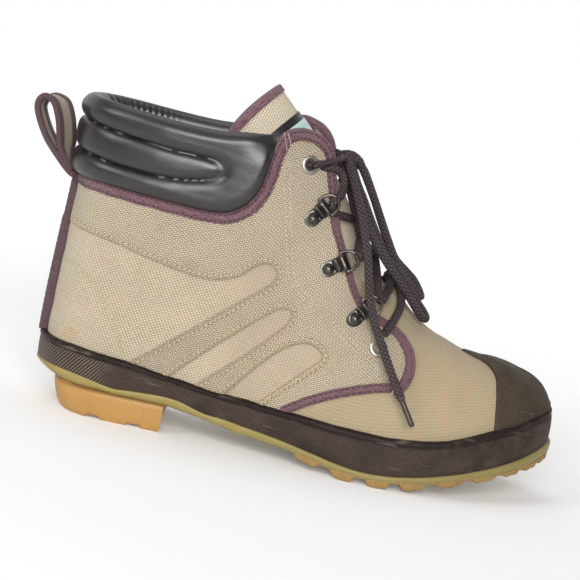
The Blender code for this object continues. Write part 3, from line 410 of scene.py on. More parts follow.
def piece(name, points, faces, looks, slot, nodes=(), cloth=None, marks=None, part=None, sharp=40):
    """Makes a piece, links it into the scene under the root body and hides the CAD nodes it stands
    for. points are in millimetres; cloth is (u, v) of each point in millimetres; marks are numbers of
    each point by name; part is the finish number of each face."""
    mesh = bpy.data.meshes.new(name)
    points = np.asarray(points, float).reshape(-1, 3)
    mesh.from_pydata((points * MM).tolist(), [], [list(face) for face in faces])
    if cloth is not None:
        corners = np.empty(len(mesh.loops), np.int32)
        mesh.loops.foreach_get("vertex_index", corners)
        mesh.uv_layers.new(name="cloth").data.foreach_set("uv", np.asarray(cloth).reshape(-1, 2)[corners].ravel())
    for key, values in (marks or {}).items():
        mesh.attributes.new(key, "FLOAT", "POINT").data.foreach_set("value", np.asarray(values, float).ravel())
    outward(mesh)
    mesh.shade_smooth()
    mesh.set_sharp_from_angle(angle=math.radians(sharp))
    for look in looks if isinstance(looks, (list, tuple)) else [looks]:
        mesh.materials.append(look)
    if part is not None:
        mesh.polygons.foreach_set("material_index", np.asarray(part, np.int32))
    made = bpy.data.objects.new(name, mesh)
    bpy.context.scene.collection.objects.link(made)
    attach(made, "root")
    if nodes:
        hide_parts(*nodes)
    mesh.calc_loop_triangles()
    print(f"{name}: {len(points)} points, {len(mesh.loop_triangles)} triangles")
    return made


def together(*parts):
    """Joins (points, faces) pairs into one pair, counting the faces' corners on."""
    points, faces, first = [], [], 0
    for these, those in parts:
        these = np.asarray(these).reshape(-1, 3)
        points.append(these)
        faces += [tuple(int(k) + first for k in face) for face in those]
        first += len(these)
    return np.concatenate(points), faces


def unit(vectors):
    """Vectors of length 1 in the same directions."""
    return vectors / np.linalg.norm(vectors, axis=-1, keepdims=True)


# %% A profile carried along a path
def tube_faces(count, ring, flip=False):
    """Faces of a tube of count rings with ring points each, and a flat cap at both ends."""
    faces = grid_quads(count, ring, loop=True).tolist()
    faces += [list(range(ring)), list(range(count * ring - 1, (count - 1) * ring - 1, -1))]
    return [face[::-1] for face in faces] if flip else faces


def carried(path, side, out, profile, closed=False):
    """Points and faces of a closed profile carried along a path. At each path point the profile's
    two coordinates are measured along the arrays side and out; open ends get a flat cap."""
    profile = np.asarray(profile, float)
    if profile.ndim == 2:
        profile = np.broadcast_to(profile, (len(path),) + profile.shape)
    points = path[:, None] + profile[..., :1] * side[:, None] + profile[..., 1:] * out[:, None]
    rows = profile.shape[1]
    if closed:
        return points.reshape(-1, 3), grid_quads(len(path), rows, ring=True, loop=True).tolist()
    return points.reshape(-1, 3), tube_faces(len(path), rows)


def travel(path, closed=False):
    """Unit directions of travel along a path."""
    if closed:
        return unit(np.roll(path, -1, 0) - np.roll(path, 1, 0))
    return unit(np.gradient(path, axis=0))


def circle(radius, sides):
    """A round profile."""
    turn = np.linspace(0, 2 * math.pi, sides, endpoint=False)
    return np.stack([radius * np.cos(turn), radius * np.sin(turn)], -1)


def round_tube(path, radius, reference, sides=16, closed=False):
    """A tube along path: side and out are square to the travel and to each other, and out stays
    close to the reference direction. radius may be a number, or one for each path point."""
    path = np.asarray(path, float)
    along = travel(path, closed)
    side = unit(np.cross(along, np.broadcast_to(reference, path.shape)))
    out = np.cross(side, along)
    profile = circle(1.0, sides)[None] * np.reshape(radius, (-1, 1, 1)) * np.ones((len(path), 1, 1))
    return carried(path, side, out, profile, closed)


def spun(profile, centre, axis, steps=24):
    """A solid turned round an axis through centre from a closed list of (radius, height), which
    starts and ends on the axis; the two axis points are shared by all steps."""
    axis = unit(np.asarray(axis, float))
    first = unit(np.cross(axis, (0.31, 0.2, 1.0)))
    second = np.cross(axis, first)
    turn = np.linspace(0, 2 * math.pi, steps, endpoint=False)[:, None, None]
    radius, height = np.asarray(profile, float).T[..., None]
    points = centre + radius * (np.cos(turn) * first + np.sin(turn) * second) + height * axis
    rows = len(profile)
    if profile[0][0] == 0:
        body = points[:, 1:-1].reshape(-1, 3)
        inner = rows - 2
        quads = grid_quads(steps, inner, ring=True).tolist()
        low, high = len(body), len(body) + 1
        ahead = (np.arange(steps) + 1) % steps
        quads += [(low, int(ahead[i]) * inner, i * inner) for i in range(steps)]
        quads += [(high, i * inner + inner - 1, int(ahead[i]) * inner + inner - 1) for i in range(steps)]
        return np.concatenate([body, points[:1, 0], points[:1, -1]]), [q[::-1] for q in quads]
    return points.reshape(-1, 3), grid_quads(steps, rows, ring=True, loop=True)[:, ::-1].tolist()

# %% [markdown]
# ## Writing finishes as sums
# A finish is a network of small nodes, and a long list of links is hard to read. The class
# below lets a socket be added, multiplied and compared like a number, so that each pattern can
# be written as its formula. Numbers that are the same all over go on the shader's own sockets.

# %% Sockets that can be used in sums
def feed(value, socket):
    """Gives a socket a number, a colour or another socket's output."""
    if isinstance(value, Signal):
        socket.id_data.links.new(value.socket, socket)
    elif isinstance(value, tuple) and len(value) == 3 and len(socket.default_value) == 4:
        socket.default_value = (*value, 1.0)
    else:
        socket.default_value = value


class Signal:
    """An output socket of a material's nodes."""

    def __init__(self, socket):
        self.socket = socket

    def math(self, operation, *others):
        node = self.socket.id_data.nodes.new("ShaderNodeMath")
        node.operation = operation
        for place, value in enumerate((self, *others)):
            feed(value, node.inputs[place])
        return Signal(node.outputs[0])

    def __add__(self, other): return self.math("ADD", other)
    def __sub__(self, other): return self.math("SUBTRACT", other)
    def __mul__(self, other): return self.math("MULTIPLY", other)
    def __pow__(self, other): return self.math("POWER", other)
    def sin(self): return self.math("SINE")
    def size(self): return self.math("ABSOLUTE")
    __radd__, __rmul__ = __add__, __mul__

    def between(self, start, end):
        """0 below start, 1 above end, smooth between them; start may be the larger."""
        node = self.socket.id_data.nodes.new("ShaderNodeMapRange")
        node.interpolation_type = "SMOOTHSTEP"
        if start > end:
            start, end, turned = end, start, True
        else:
            turned = False
        feed(self, node.inputs["Value"])
        for name, value in (("From Min", start), ("From Max", end), ("To Min", 1.0 * turned),
                            ("To Max", 1.0 - turned)):
            node.inputs[name].default_value = value
        return Signal(node.outputs[0])


class Finish:
    """A material under construction."""

    def __init__(self, name, roughness, metallic=0.0, **sockets):
        self.material = bpy.data.materials.new(name)
        self.material.use_nodes = True
        self.tree = self.material.node_tree
        self.shader = self.tree.nodes["Principled BSDF"]
        self.shader.inputs["Roughness"].default_value = roughness
        self.shader.inputs["Metallic"].default_value = metallic
        for key, value in sockets.items():
            feed(value, self.shader.inputs[key.replace("_", " ")])

    def node(self, kind, output=0, settings=(), **inputs):
        node = self.tree.nodes.new("ShaderNode" + kind)
        for key, value in dict(settings).items():
            setattr(node, key, value)
        for key, value in inputs.items():
            feed(value, node.inputs[key.replace("_", " ")])
        return Signal(node.outputs[output])

    def place(self):
        """Object coordinates, in metres."""
        return self.node("TexCoord", "Object")

    def cloth(self):
        """The piece's own cloth coordinates, in millimetres."""
        return self.node("UVMap", 0, {"uv_map": "cloth"})

    def mark(self, name):
        return self.node("Attribute", "Fac", {"attribute_name": name})

    def split(self, where):
        node = self.tree.nodes.new("ShaderNodeSeparateXYZ")
        feed(where, node.inputs[0])
        return [Signal(output) for output in node.outputs]

    def noise(self, where, scale, detail=2.0, roughness=0.5, stretch=None):
        """Cloudy variation about 0.5; stretch scales each direction on its own."""
        if stretch:
            where = self.node("VectorMath", 0, {"operation": "MULTIPLY"}, Vector=where)
            where.socket.node.inputs[1].default_value = stretch
        return self.node("TexNoise", 0, Vector=where, Scale=scale, Detail=detail, Roughness=roughness)

    def mix(self, amount, first, second):
        node = self.tree.nodes.new("ShaderNodeMix")
        node.data_type = "RGBA"
        for place, value in ((0, amount), (6, first), (7, second)):
            feed(value, node.inputs[place])
        return Signal(node.outputs[2])

    def paint(self, colour, roughness=None):
        feed(colour, self.shader.inputs["Base Color"])
        if roughness is not None:
            feed(roughness, self.shader.inputs["Roughness"])

    def relief(self, height, depth, strength=1.0):
        """Height from 0 to 1 over a depth in millimetres. Several reliefs follow one another."""
        bump = self.tree.nodes.new("ShaderNodeBump")
        bump.inputs["Strength"].default_value = strength
        bump.inputs["Distance"].default_value = depth * MM
        feed(height, bump.inputs["Height"])
        normal = self.shader.inputs["Normal"]
        if normal.is_linked:
            self.tree.links.new(normal.links[0].from_socket, bump.inputs["Normal"])
        self.tree.links.new(bump.outputs[0], normal)

# %% [markdown]
# ## Canvas
# The upper is a thick plain-woven canvas, about ten threads to the centimetre. Each thread is
# a rounded bar, and at every crossing either one set of threads or the other is on top. The
# product of one sine across each set has exactly that chequer: its sign tells which thread is
# on top, its size how far out it bulges. The panels are cut at different slants to save cloth,
# so each has its own thread directions. Uneven threads, soft clouds of dust and a few rusty
# stains keep it from looking printed.

# %% Weave
def weave(u, v, first, second):
    """Chequer of a plain weave: the product of a sine across each set of threads. Each set is
    given by the slant of its spacing, in degrees, and the width of one thread in mm."""
    waves = []
    for slant, width in (first, second):
        slant = math.radians(slant)
        waves.append((u * (math.cos(slant) * math.pi / width) + v * (math.sin(slant) * math.pi / width)).sin())
    return waves[0] * waves[1]


upper_finish = Finish("canvas_upper", 0.86, Sheen_Weight=0.12, Sheen_Roughness=0.6)
place = upper_finish.place()
u, v, w = upper_finish.split(upper_finish.cloth())
x, y, z = upper_finish.split(place)
vamp = upper_finish.mark("vamp").between(-0.2, 0.2)
fold_way = upper_finish.mark("underlay")
is_under = fold_way.between(-0.1, 0.3)
u, v = u + upper_finish.noise(place, 12.0, 2.0) * 2.0, v + upper_finish.noise(place, 9.0, 2.0) * 2.5
quarter_weave = weave(u, v, (19, 0.99), (-68, 1.19))
under_weave = weave(u, v, (-21, 1.16), (78, 1.04))
vamp_weave = weave(upper_finish.mark("vamp_u"), upper_finish.mark("vamp_v"), (-16, 1.18), (74, 0.97))
cloth = quarter_weave * (is_under * -1 + 1) + under_weave * is_under
cloth = cloth * (vamp * -1 + 1) + vamp_weave * vamp
bulge = cloth.size() ** 0.5
on_top = cloth.between(-0.35, 0.35)
slub = upper_finish.noise(upper_finish.cloth(), 0.9, 1.0, stretch=(0.3, 1.2, 1.0))
clouds = upper_finish.noise(place, 16.0, 4.0, 0.6)
# painted light: on_top paints the crossings where one set of threads lies on top lighter than the others, for the way
# light catches the two directions; slub and clouds are the cloth's own uneven tone.
tone = on_top * 0.5 + slub * 0.5 + clouds * 0.5 - 0.30
threads = upper_finish.mix(tone, (0.33, 0.268, 0.178), (0.79, 0.69, 0.51))
rosy = upper_finish.noise(place, 60.0, 3.0, 0.7).between(0.45, 0.75)
threads = upper_finish.mix(rosy * 0.3, threads, (0.64, 0.46, 0.36))
# partly painted shade: the vamp is painted darker for the lesser light that falls on it, and yellower for its own tone.
threads = upper_finish.mix(vamp * 0.68, threads, (0.29, 0.225, 0.11))
tongue = upper_finish.mark("tongue")
# painted light: the tongue's canvas is painted lighter to lift the shade it lies in under the facings.
threads = upper_finish.mix(tongue * 0.5, threads, (0.85, 0.75, 0.585))
low_strips = (is_under * -1 + 1) * z.between(0.085, 0.055) * x.between(0.090, 0.060)
fingers = is_under * x.between(0.045, 0.075)
threads = upper_finish.mix(fingers * 0.35, threads, (0.40, 0.315, 0.22))
threads = upper_finish.mix(low_strips * 0.22, threads, (0.27, 0.215, 0.13))
rust = upper_finish.noise(place, 150.0, 3.0, 0.7, stretch=(1.0, 1.0, 0.35)).between(0.5, 0.62)
rust = rust * x.between(0.160, 0.180) * x.between(0.213, 0.198)
threads = upper_finish.mix(rust * vamp * 0.32, threads, (0.52, 0.25, 0.18))
for spot, reach, colour, strength in (((0.030, 0.100), 0.006, (0.22, 0.165, 0.09), 0.2),
                                      ((-0.030, 0.045), 0.007, (0.55, 0.33, 0.12), 0.4)):
    away = ((x + -spot[0]) * (x + -spot[0]) + (z + -spot[1]) * (z + -spot[1])) ** 0.5
    fade = (away + slub * 0.006 + -0.003).between(reach, reach * 0.2)
    threads = upper_finish.mix(fade * strength, threads, colour)
# painted shadow: a dark band along each folded edge, where the fold throws shade onto the cloth.
grime_and_fold_shade = fold_way.between(-1.6, -0.2) * fold_way.between(1.6, 0.3)
threads = upper_finish.mix(grime_and_fold_shade * 0.38, threads, (0.20, 0.15, 0.085))
# painted shade: a dark line under the row of stitches, for the groove that the thread pulls into the cloth.
stitch_groove_shade = fold_way.between(-2.65, -2.2) * fold_way.between(-1.15, -1.6)
threads = upper_finish.mix(stitch_groove_shade * 0.36, threads, (0.15, 0.11, 0.055))
# plain is how far the weave is worn smooth.
plain = (is_under * 0.30 + 0.04) * (vamp * -1 + 1) + vamp * 0.62 + tongue * 0.25
deep = bulge.between(0.2, 0.88)
deep = deep + (deep * -1 + 1) * plain
# painted shade: where the threads' bulge is low, between them, the cloth is painted dark; worn-smooth cloth shows less
# of it.
threads = upper_finish.mix(deep, (0.17, 0.13, 0.085), threads)
upper_finish.paint(threads)
upper_finish.relief(deep, 0.33, 0.85)

# %% [markdown]
# ## Laces
# The boot has one pair of round braided laces, nearly 5 mm thick. What hangs free after the
# bow is tied are two loops and two ends, and each is a cord of its own real length, modelled
# first because nothing else on the boot is as free to move. A braid is strands that cross in
# two directions, so its surface is a lattice of small bumps: the tube's radius is raised by
# the product of two waves, one round the lace and one along it.

# %% Lace finish
lace_finish = Finish("lace_braid", 0.6)
bumps = lace_finish.mark("relief")
u, v, w = lace_finish.split(lace_finish.cloth())
threads = ((u * 9.0 + v * 24.0).sin() * (u * 9.0 - v * 24.0).sin()) * 0.5 + 0.5
dust = lace_finish.noise(lace_finish.place(), 220.0, 3.0)
dark = lace_finish.mix(threads * 0.5 + dust * 0.5, (0.036, 0.017, 0.018), (0.155, 0.097, 0.10))
# painted shade: where the braid's bumps are low, between the strands, the lace is painted nearly black.
lace_finish.paint(lace_finish.mix(bumps.between(0.42, 0.92), (0.006, 0.003, 0.0035), dark))
lace_finish.relief(threads, 0.15, 0.6)

# %% Free loops and ends
aglet = Finish("aglet_film", 0.32)
aglet.paint(aglet.mix(aglet.noise(aglet.place(), 500.0, 2.0), (0.020, 0.011, 0.010), (0.060, 0.040, 0.036)))
aglet.relief(aglet.noise(aglet.place(), 300.0, 2.0), 0.1, 0.5)
LACE_RADIUS = 2.4
LACE_GRAIN = 1.35                       # length of one braid bump, mm
ROUTES = {
    "lace_loop_near": (
        (108.4, -6.4, 169.5), (110.3, -9.7, 165.0), (111.5, -13.2, 161.0), (118.2, -17.2, 148.1),
        (126.2, -18.3, 136.1), (135.5, -18.8, 125.0), (143.6, -19.8, 116.8), (151.8, -20.9, 109.0),
        (160.4, -17.6, 99.4), (164.9, -14.2, 94.4), (168.2, -9.8, 93.3), (166.3, -6.4, 96.2),
        (160.4, -6.8, 102.2), (153.6, -8.2, 109.6), (145.8, -9.6, 117.6), (137.6, -10.8, 124.0),
        (131.1, -11.4, 133.4), (124.7, -11.6, 143.1), (119.5, -10.2, 151.6), (114.0, -6.6, 159.7),
        (109.8, -1.4, 167.0)),
    "lace_loop_far": (
        (111.9, -0.8, 173.3), (115.0, -0.8, 168.9), (118.4, -0.8, 164.0), (122.3, -0.7, 157.8),
        (125.4, -0.6, 152.8), (131.3, -0.5, 142.3), (136.7, -0.5, 132.9), (142.1, -0.4, 124.0),
        (149.3, 0.2, 115.6), (157.1, 1.4, 107.9), (161.6, 3.4, 103.7), (163.9, 6.4, 102.9),
        (161.8, 8.6, 106.5), (157.5, 9.2, 111.5), (151.4, 9.0, 116.1), (144.7, 8.8, 121.3),
        (138.7, 8.5, 130.3), (132.7, 8.2, 140.4), (126.4, 7.8, 151.1), (119.6, 7.0, 162.4),
        (115.6, 5.8, 168.3), (111.6, 4.9, 171.0)),
    "lace_end_near": (
        (104.7, -7.4, 172.8), (106.6, -13.6, 169.4), (111.0, -21.8, 161.8), (115.8, -29.8, 152.0),
        (120.2, -35.6, 141.7), (124.0, -39.2, 131.6), (127.4, -41.4, 121.6), (130.0, -42.2, 111.0),
        (133.4, -43.0, 100.3), (137.4, -44.2, 91.0), (142.1, -45.8, 82.8), (147.2, -47.8, 74.2),
        (152.3, -50.4, 65.9), (157.2, -52.6, 58.4), (160.6, -54.0, 53.4)),
    "lace_end_far": (
        (104.9, 5.0, 173.2), (106.8, 11.6, 169.9), (111.6, 20.6, 161.8), (116.6, 28.8, 151.8),
        (120.6, 34.6, 140.4), (124.2, 37.6, 129.4), (127.4, 39.6, 118.6), (130.6, 41.4, 107.6),
        (134.2, 43.4, 97.0), (137.8, 45.2, 87.4), (141.4, 47.4, 78.4), (145.0, 49.8, 69.8),
        (148.4, 52.0, 61.6), (151.2, 53.6, 54.6)),
}
REFERENCES = {"lace_loop_near": (0.66, 0.0, 0.75), "lace_loop_far": (0.66, 0.0, 0.75),
              "lace_end_near": (0.35, -0.85, 0.4), "lace_end_far": (0.35, 0.85, 0.4)}
AGLET_PROFILE = ((0, 0), (2.35, 0.02), (2.45, 0.5), (1.75, 1.2), (1.62, 2.0), (1.62, 15.0), (1.5, 16.2),
                 (1.1, 16.9), (0, 17.0))    # (radius, height) from the lace's end to the tip


def length_of(path):
    """Length of a line of points."""
    return float(np.linalg.norm(np.diff(path, axis=0), axis=1).sum())


def braid(path, reference, radius=LACE_RADIUS, sides=20, closed=False, swell=1.0):
    """A braided tube along path: its radius is radius * swell * (0.94 + 0.09 * bump). bump goes
    from 0 to 1 with the product of five waves round the lace and one wave along it, in which
    each rise and each fall is one grain long."""
    count = len(path)
    along = np.linspace(0, length_of(path), count)[:, None]
    turn = np.linspace(0, 2 * math.pi, sides, endpoint=False)[None]
    bump = 0.5 + 0.5 * np.cos(5 * turn) * np.cos(2 * math.pi * along / (2 * LACE_GRAIN))
    travelled = travel(path, closed)
    side = unit(np.cross(travelled, np.broadcast_to(reference, path.shape)))
    out = np.cross(side, travelled)
    size = radius * np.reshape(swell, (-1, 1)) * (0.94 + 0.09 * bump)
    profile = np.stack([size * np.cos(turn), size * np.sin(turn)], -1)
    points, faces = carried(path, side, out, profile, closed)
    cloth = np.stack([along + 0 * turn, radius * turn + 0 * along], -1)
    return points, faces, cloth.reshape(-1, 2), (0.15 + 0.85 * bump).ravel()


for name, route in ROUTES.items():
    path = even_curve(route, int(length_of(np.array(route)) / 0.45))
    points, faces, cloth, bump = braid(path, REFERENCES[name])
    cord = piece(name.replace("lace_", "free_"), points, faces, lace_finish.material, "lace", [name], cloth,
                 {"relief": bump}, sharp=60)
    if "end" in name:
        ahead = unit(path[-1] - path[-2])
        points, faces = spun(AGLET_PROFILE, path[-1] + 0.2 * ahead, ahead, 16)
        piece(name.replace("lace_end", "tip"), points, faces, aglet.material, "aglet",
                          [name.replace("lace_end", "aglet")])
    path[0] * MM
    (even_curve(path, 60, 4) * MM).tolist()
    print(name, "is", round(length_of(path), 1), "mm long")

# %% [markdown]
# ## The canvas upper
# The upper is cut in panels. On each side a quarter lies over an underlay that shows through
# three finger-shaped openings, the largest of which runs back round the whole heel, and the
# quarter lies over the vamp at the front. All of them share one wall here: a grid over the
# last, sunk by a thread's thickness inside the fingers. Each point also carries its distance
# to the nearest panel edge, so that the finish can turn the weave where the panel changes.

# %% Panel outlines in side view
FINGERS = (
    ((-80.0, 107.5), (-42.6, 106.0), (-26.0, 104.0), (-9.7, 101.6), (12.7, 97.1), (37.9, 93.8), (54.8, 97.7),
     (66.0, 107.0), (71.9, 109.9), (77.0, 108.4), (79.5, 102.8), (77.0, 98.2), (71.5, 93.2), (48.6, 72.6),
     (31.3, 57.3), (8.2, 37.5), (-6.0, 24.0)),
    ((18.0, 20.0), (30.7, 34.3), (48.1, 52.8), (71.1, 75.1), (80.5, 83.6), (85.3, 86.5), (90.4, 87.2),
     (92.3, 84.4), (91.4, 80.0), (87.9, 74.9), (70.6, 55.7), (49.0, 34.5), (36.0, 20.0)),
    ((54.0, 18.0), (64.5, 32.9), (81.8, 55.8), (91.0, 65.0), (98.9, 69.7), (104.5, 71.2), (110.0, 69.4),
     (114.1, 65.2), (112.4, 61.0), (106.9, 55.8), (84.0, 30.9), (73.0, 18.0)),
)
FINGER_ENDS = ([(-6.0, -20.0), (-90.0, -20.0)], [(36.0, -20.0), (18.0, -20.0)], [(73.0, -20.0), (54.0, -20.0)])
CURL = ((120.2, 112.6), (125.4, 103.4), (131.3, 96.6), (138.0, 93.2), (145.6, 90.2), (153.6, 86.2),
        (159.6, 81.0), (163.6, 76.0), (165.3, 70.9), (165.9, 67.0), (165.5, 63.4), (164.4, 59.2),
        (162.2, 55.8), (159.6, 53.8), (156.2, 53.1))
VAMP_SEAM = ((157.5, 54.1), (147.0, 51.7), (137.6, 48.8), (128.6, 45.4), (120.6, 41.7), (112.4, 37.1), (105.0, 32.1),
             (99.0, 27.5))


def edge_distance(points, start, end):
    """Distance of each (x, z) to the nearest of the straight edges from start to end."""
    edge = end - start
    off = points[:, None] - start
    share = np.clip((off * edge).sum(-1) / (edge ** 2).sum(-1), 0, 1)
    return np.linalg.norm(off - share[..., None] * edge, axis=-1).min(1)


def signed_distance(points, outline):
    """Distance of each (x, z) to a closed outline, positive inside. The sign comes from how
    often a level ray from the point crosses the outline."""
    start, end = outline, np.roll(outline, -1, 0)
    edge = end - start
    near = edge_distance(points, start, end)
    above = points[:, None, 1] >= start[:, 1]
    crosses = (above != (points[:, None, 1] >= end[:, 1]))
    lift = np.where(edge[:, 1] == 0, 1e-9, edge[:, 1])
    at = start[:, 0] + (points[:, None, 1] - start[:, 1]) / lift * edge[:, 0]
    inside = (crosses & (at > points[:, None, 0])).sum(1) % 2 == 1
    return np.where(inside, near, -near)


def underlay_distance(points):
    """Distance to the nearest finger's edge, positive inside a finger."""
    found = [signed_distance(points, np.vstack([even_curve(line, 70), ends]))
             for line, ends in zip(FINGERS, FINGER_ENDS)]
    return np.max(found, axis=0)


def vamp_distance(points):
    """Distance to the edge of the quarter, positive on the vamp."""
    outline = np.vstack([even_curve(CURL, 50), even_curve(VAMP_SEAM, 20),
                         [(99.0, -20.0), (300.0, -20.0), (300.0, 140.0), (118.0, 140.0)]])
    return signed_distance(points, outline)


# %% Cloth coordinates
S_STEPS, V_STEPS = 560, 60              # steps of the tables round the boot and up it
VAMP_DROP = 78.0                        # usual way from the ridge down to the feather edge, mm
TABLE_S, TABLE_V = np.linspace(0, 2 * TOE_ROW, S_STEPS + 1), np.linspace(0, 1, V_STEPS + 1)
girth = last_point(TABLE_S[:, None], TABLE_V[None])
up_arc = way_along(girth, 1)
middle_line = last_point(TABLE_S, 0.45)
round_arc = way_along(middle_line)
middle_way = unit(np.gradient(middle_line, axis=0) * (1, 1, 0))
ridge_arc = way_along(girth[:, -1])
print("way round the boot half-way up:", round(float(round_arc[-1])), "mm")


def side_cloth(s, v):
    """(u, v) on the side panels: u is the way round the boot half-way up, plus the point's own
    lead along it; v is the height. Threads so run level and upright on the boot's sides."""
    point = last_point(s, v)
    off = np.stack([point[..., k] - np.interp(s, TABLE_S, middle_line[:, k]) for k in range(3)], -1)
    way = np.stack([np.interp(s, TABLE_S, middle_way[:, k]) for k in range(3)], -1)
    u = np.interp(s, TABLE_S, round_arc) + (off * way).sum(-1)
    u = np.where(s > TOE_ROW, round_arc[-1] - u, u)
    return np.stack([u, point[..., 2]], -1)


def vamp_cloth(s, v):
    """(u, v) on the vamp: u runs along the ridge, and v down from the ridge on both sides, half
    by distance and half by share of the section, so low threads follow the sole."""
    column = np.clip(s / (2 * TOE_ROW) * S_STEPS, 0, S_STEPS - 0.001)
    low = column.astype(int)
    part = column - low
    total = np.interp(s, TABLE_S, up_arc[:, -1])
    row = np.clip(v, 0, 1) * V_STEPS
    v_low = np.minimum(row.astype(int), V_STEPS - 1)
    v_part = row - v_low
    arc = sum(a * b * up_arc[low + i, v_low + j] for i, a in ((0, 1 - part), (1, part))
              for j, b in ((0, 1 - v_part), (1, v_part)))
    down = total - arc
    down = 0.5 * down + 0.5 * VAMP_DROP * down / total
    along = np.interp(s, TABLE_S, np.abs(ridge_arc - ridge_arc[S_STEPS // 2]))
    return np.stack([along, np.where(s > TOE_ROW, -down, down)], -1)


# %% The upper's grid
UPPER_WALL = 2.6
EDGE_COLUMNS, RIDGE_COLUMNS, UPPER_ROWS = 112, 58, 84


def top_places(count):
    """(s, v) along the upper's top edge on the lateral side, from the back seam to the throat."""
    places = np.vstack([place_line(TOP_LINE), THROAT_TURN])
    places[0, 0] = 0.0
    return even_curve(places * (1, 6), count) / (1, 6)


def around(s, v):
    """A full ring of columns: the lateral ones, heel first, then the medial ones backwards."""
    return np.concatenate([s, medial(s[-2:0:-1])]), np.concatenate([v, v[-2:0:-1]])


def upper_columns(edge_columns, ridge_columns, rows):
    """Row places and height shares of the upper's grid. Columns under the top edge lean so that
    their tops follow it; the rest run up to the ridge of the vamp."""
    tops = top_places(edge_columns)
    feet = 0.6 * tops[:, 0] + 0.4 * np.linspace(0, tops[-1, 0], edge_columns)
    ridge = np.linspace(tops[-1, 0], TOE_ROW, ridge_columns)[1:]
    tops = np.vstack([tops, np.stack([ridge, np.ones_like(ridge)], 1)])
    feet = np.concatenate([feet, ridge])
    share = np.linspace(0, 1, rows)
    s = feet[:, None] + (tops[:, 0] - feet)[:, None] * share
    v = tops[:, 1][:, None] * share
    s[0], s[-1] = 0.0, TOE_ROW
    return around(s, v)


def ridge_share(s, v, out):
    """Offset points whose ridge row is shared: both sides take the mean of their two points."""
    grid, across = last_offset(s, v, out), last_offset(medial(s), v, out)
    on_ridge = (v > 0.999) & (np.abs(TOE_ROW - s) < TOE_ROW - RIM_ROWS[1] + 1e-6)
    grid[on_ridge] = (grid[on_ridge] + across[on_ridge]) / 2
    return grid


# %% Soft creases
# x, z of the two ends, half width and depth in millimetres; negative depths are ridges.
CREASES = (
    (20.0, 122.0, 62.0, 112.0, 9.0, 0.5), (58.0, 128.0, 84.0, 118.0, 8.0, 0.5), (30.0, 88.0, 55.0, 84.0, 7.0, 0.35),
    (-38.0, 122.0, -10.0, 116.0, 8.0, 0.4), (100.0, 78.0, 122.0, 62.0, 8.0, 0.5), (128.0, 66.0, 150.0, 74.0, 7.0, 0.5),
    (128.0, 84.0, 140.0, 66.0, 6.0, -0.4), (112.0, 50.0, 150.0, 62.0, 9.0, 0.45), (168.0, 88.0, 176.0, 56.0, 10.0, 0.5),
    (184.0, 80.0, 190.0, 52.0, 9.0, -0.4), (-36.0, 70.0, -20.0, 46.0, 9.0, 0.5), (70.0, 165.0, 84.0, 140.0, 6.0, -0.3),
    (56.0, 60.0, 84.0, 84.0, 5.0, -0.35), (86.0, 104.0, 112.0, 92.0, 6.0, 0.35), (-20.0, 94.0, 20.0, 84.0, 8.0, -0.3),
)


def crease_depth(x, z):
    """How far creases sink the cloth at (x, z): each is a bell across its own line."""
    total = np.zeros_like(x)
    for x0, z0, x1, z1, half, depth in CREASES:
        edge = np.array([x1 - x0, z1 - z0])
        share = np.clip(((x - x0) * edge[0] + (z - z0) * edge[1]) / (edge @ edge), 0, 1)
        away = np.hypot(x - x0 - share * edge[0], z - z0 - share * edge[1])
        total += depth * np.exp(-(away / half) ** 2)
    return total


def ripple(x, y, z):
    """Low uneven waves of the stretched cloth, from four crossing sines."""
    return (np.sin(0.11 * x + 0.07 * z) * np.sin(0.13 * z - 0.05 * y) + 0.6 * np.sin(0.23 * x - 0.17 * z + 0.2 * y)
            * np.sin(0.19 * z + 0.04 * x)) * 0.28


# %% Build the upper
s, v = upper_columns(EDGE_COLUMNS, RIDGE_COLUMNS, UPPER_ROWS)
count, rows = s.shape
bare = last_point(s, v)
flat_view = bare.reshape(-1, 3)[:, [0, 2]]
underlay = underlay_distance(flat_view).reshape(s.shape)
on_vamp = vamp_distance(flat_view).reshape(s.shape)
hold = ease(v, 0.0, 0.15) * (1 - ease(v / v[:, -1:], 0.9, 1.0))
sink = 0.8 * ease(underlay, -0.6, 0.8) + 0.7 * ease(on_vamp, -0.6, 0.8)
wave = hold * (ripple(bare[..., 0], np.abs(bare[..., 1]), bare[..., 2]) - crease_depth(bare[..., 0], bare[..., 2]))
outer = ridge_share(s, v, wave - sink)
inner = ridge_share(s, v, -UPPER_WALL)
inner[:, 0, 2] = bare[:, 0, 2]
outer[:, 0, 2] = bare[:, 0, 2]
outside = grid_quads(count, rows, ring=True)
inside = grid_quads(count, rows, ring=True, first=count * rows)[:, ::-1]
ahead = (np.arange(count) + 1) % count
feet, feet_ahead = np.arange(count) * rows, ahead * rows
hem = np.stack([feet, count * rows + feet, count * rows + feet_ahead, feet_ahead], -1)
lip = np.stack([feet + rows - 1, feet_ahead + rows - 1], -1)
lip = np.concatenate([lip, lip[:, ::-1] + count * rows], 1)
throat = EDGE_COLUMNS - 1               # ahead of it the two sides meet on the ridge, without a lip
lip = np.array([q for i, q in enumerate(lip) if not throat <= i < count - throat])
all_faces = np.concatenate([outside, inside, hem, lip])
side_uv, vamp_uv = side_cloth(s, v), vamp_cloth(s, v)
double = lambda values: np.tile(values.ravel(), 2)
lining_finish = Finish("lining_cloth", 0.9)
place = lining_finish.place()
nap = lining_finish.noise(place, 900.0, 3.0, 0.6)
worn = lining_finish.noise(place, 45.0, 3.0)
lining_finish.paint(lining_finish.mix(nap * 0.7 + worn * 0.8 + -0.25, (0.26, 0.215, 0.15), (0.54, 0.475, 0.37)))
lining_finish.relief(nap, 0.25, 0.5)
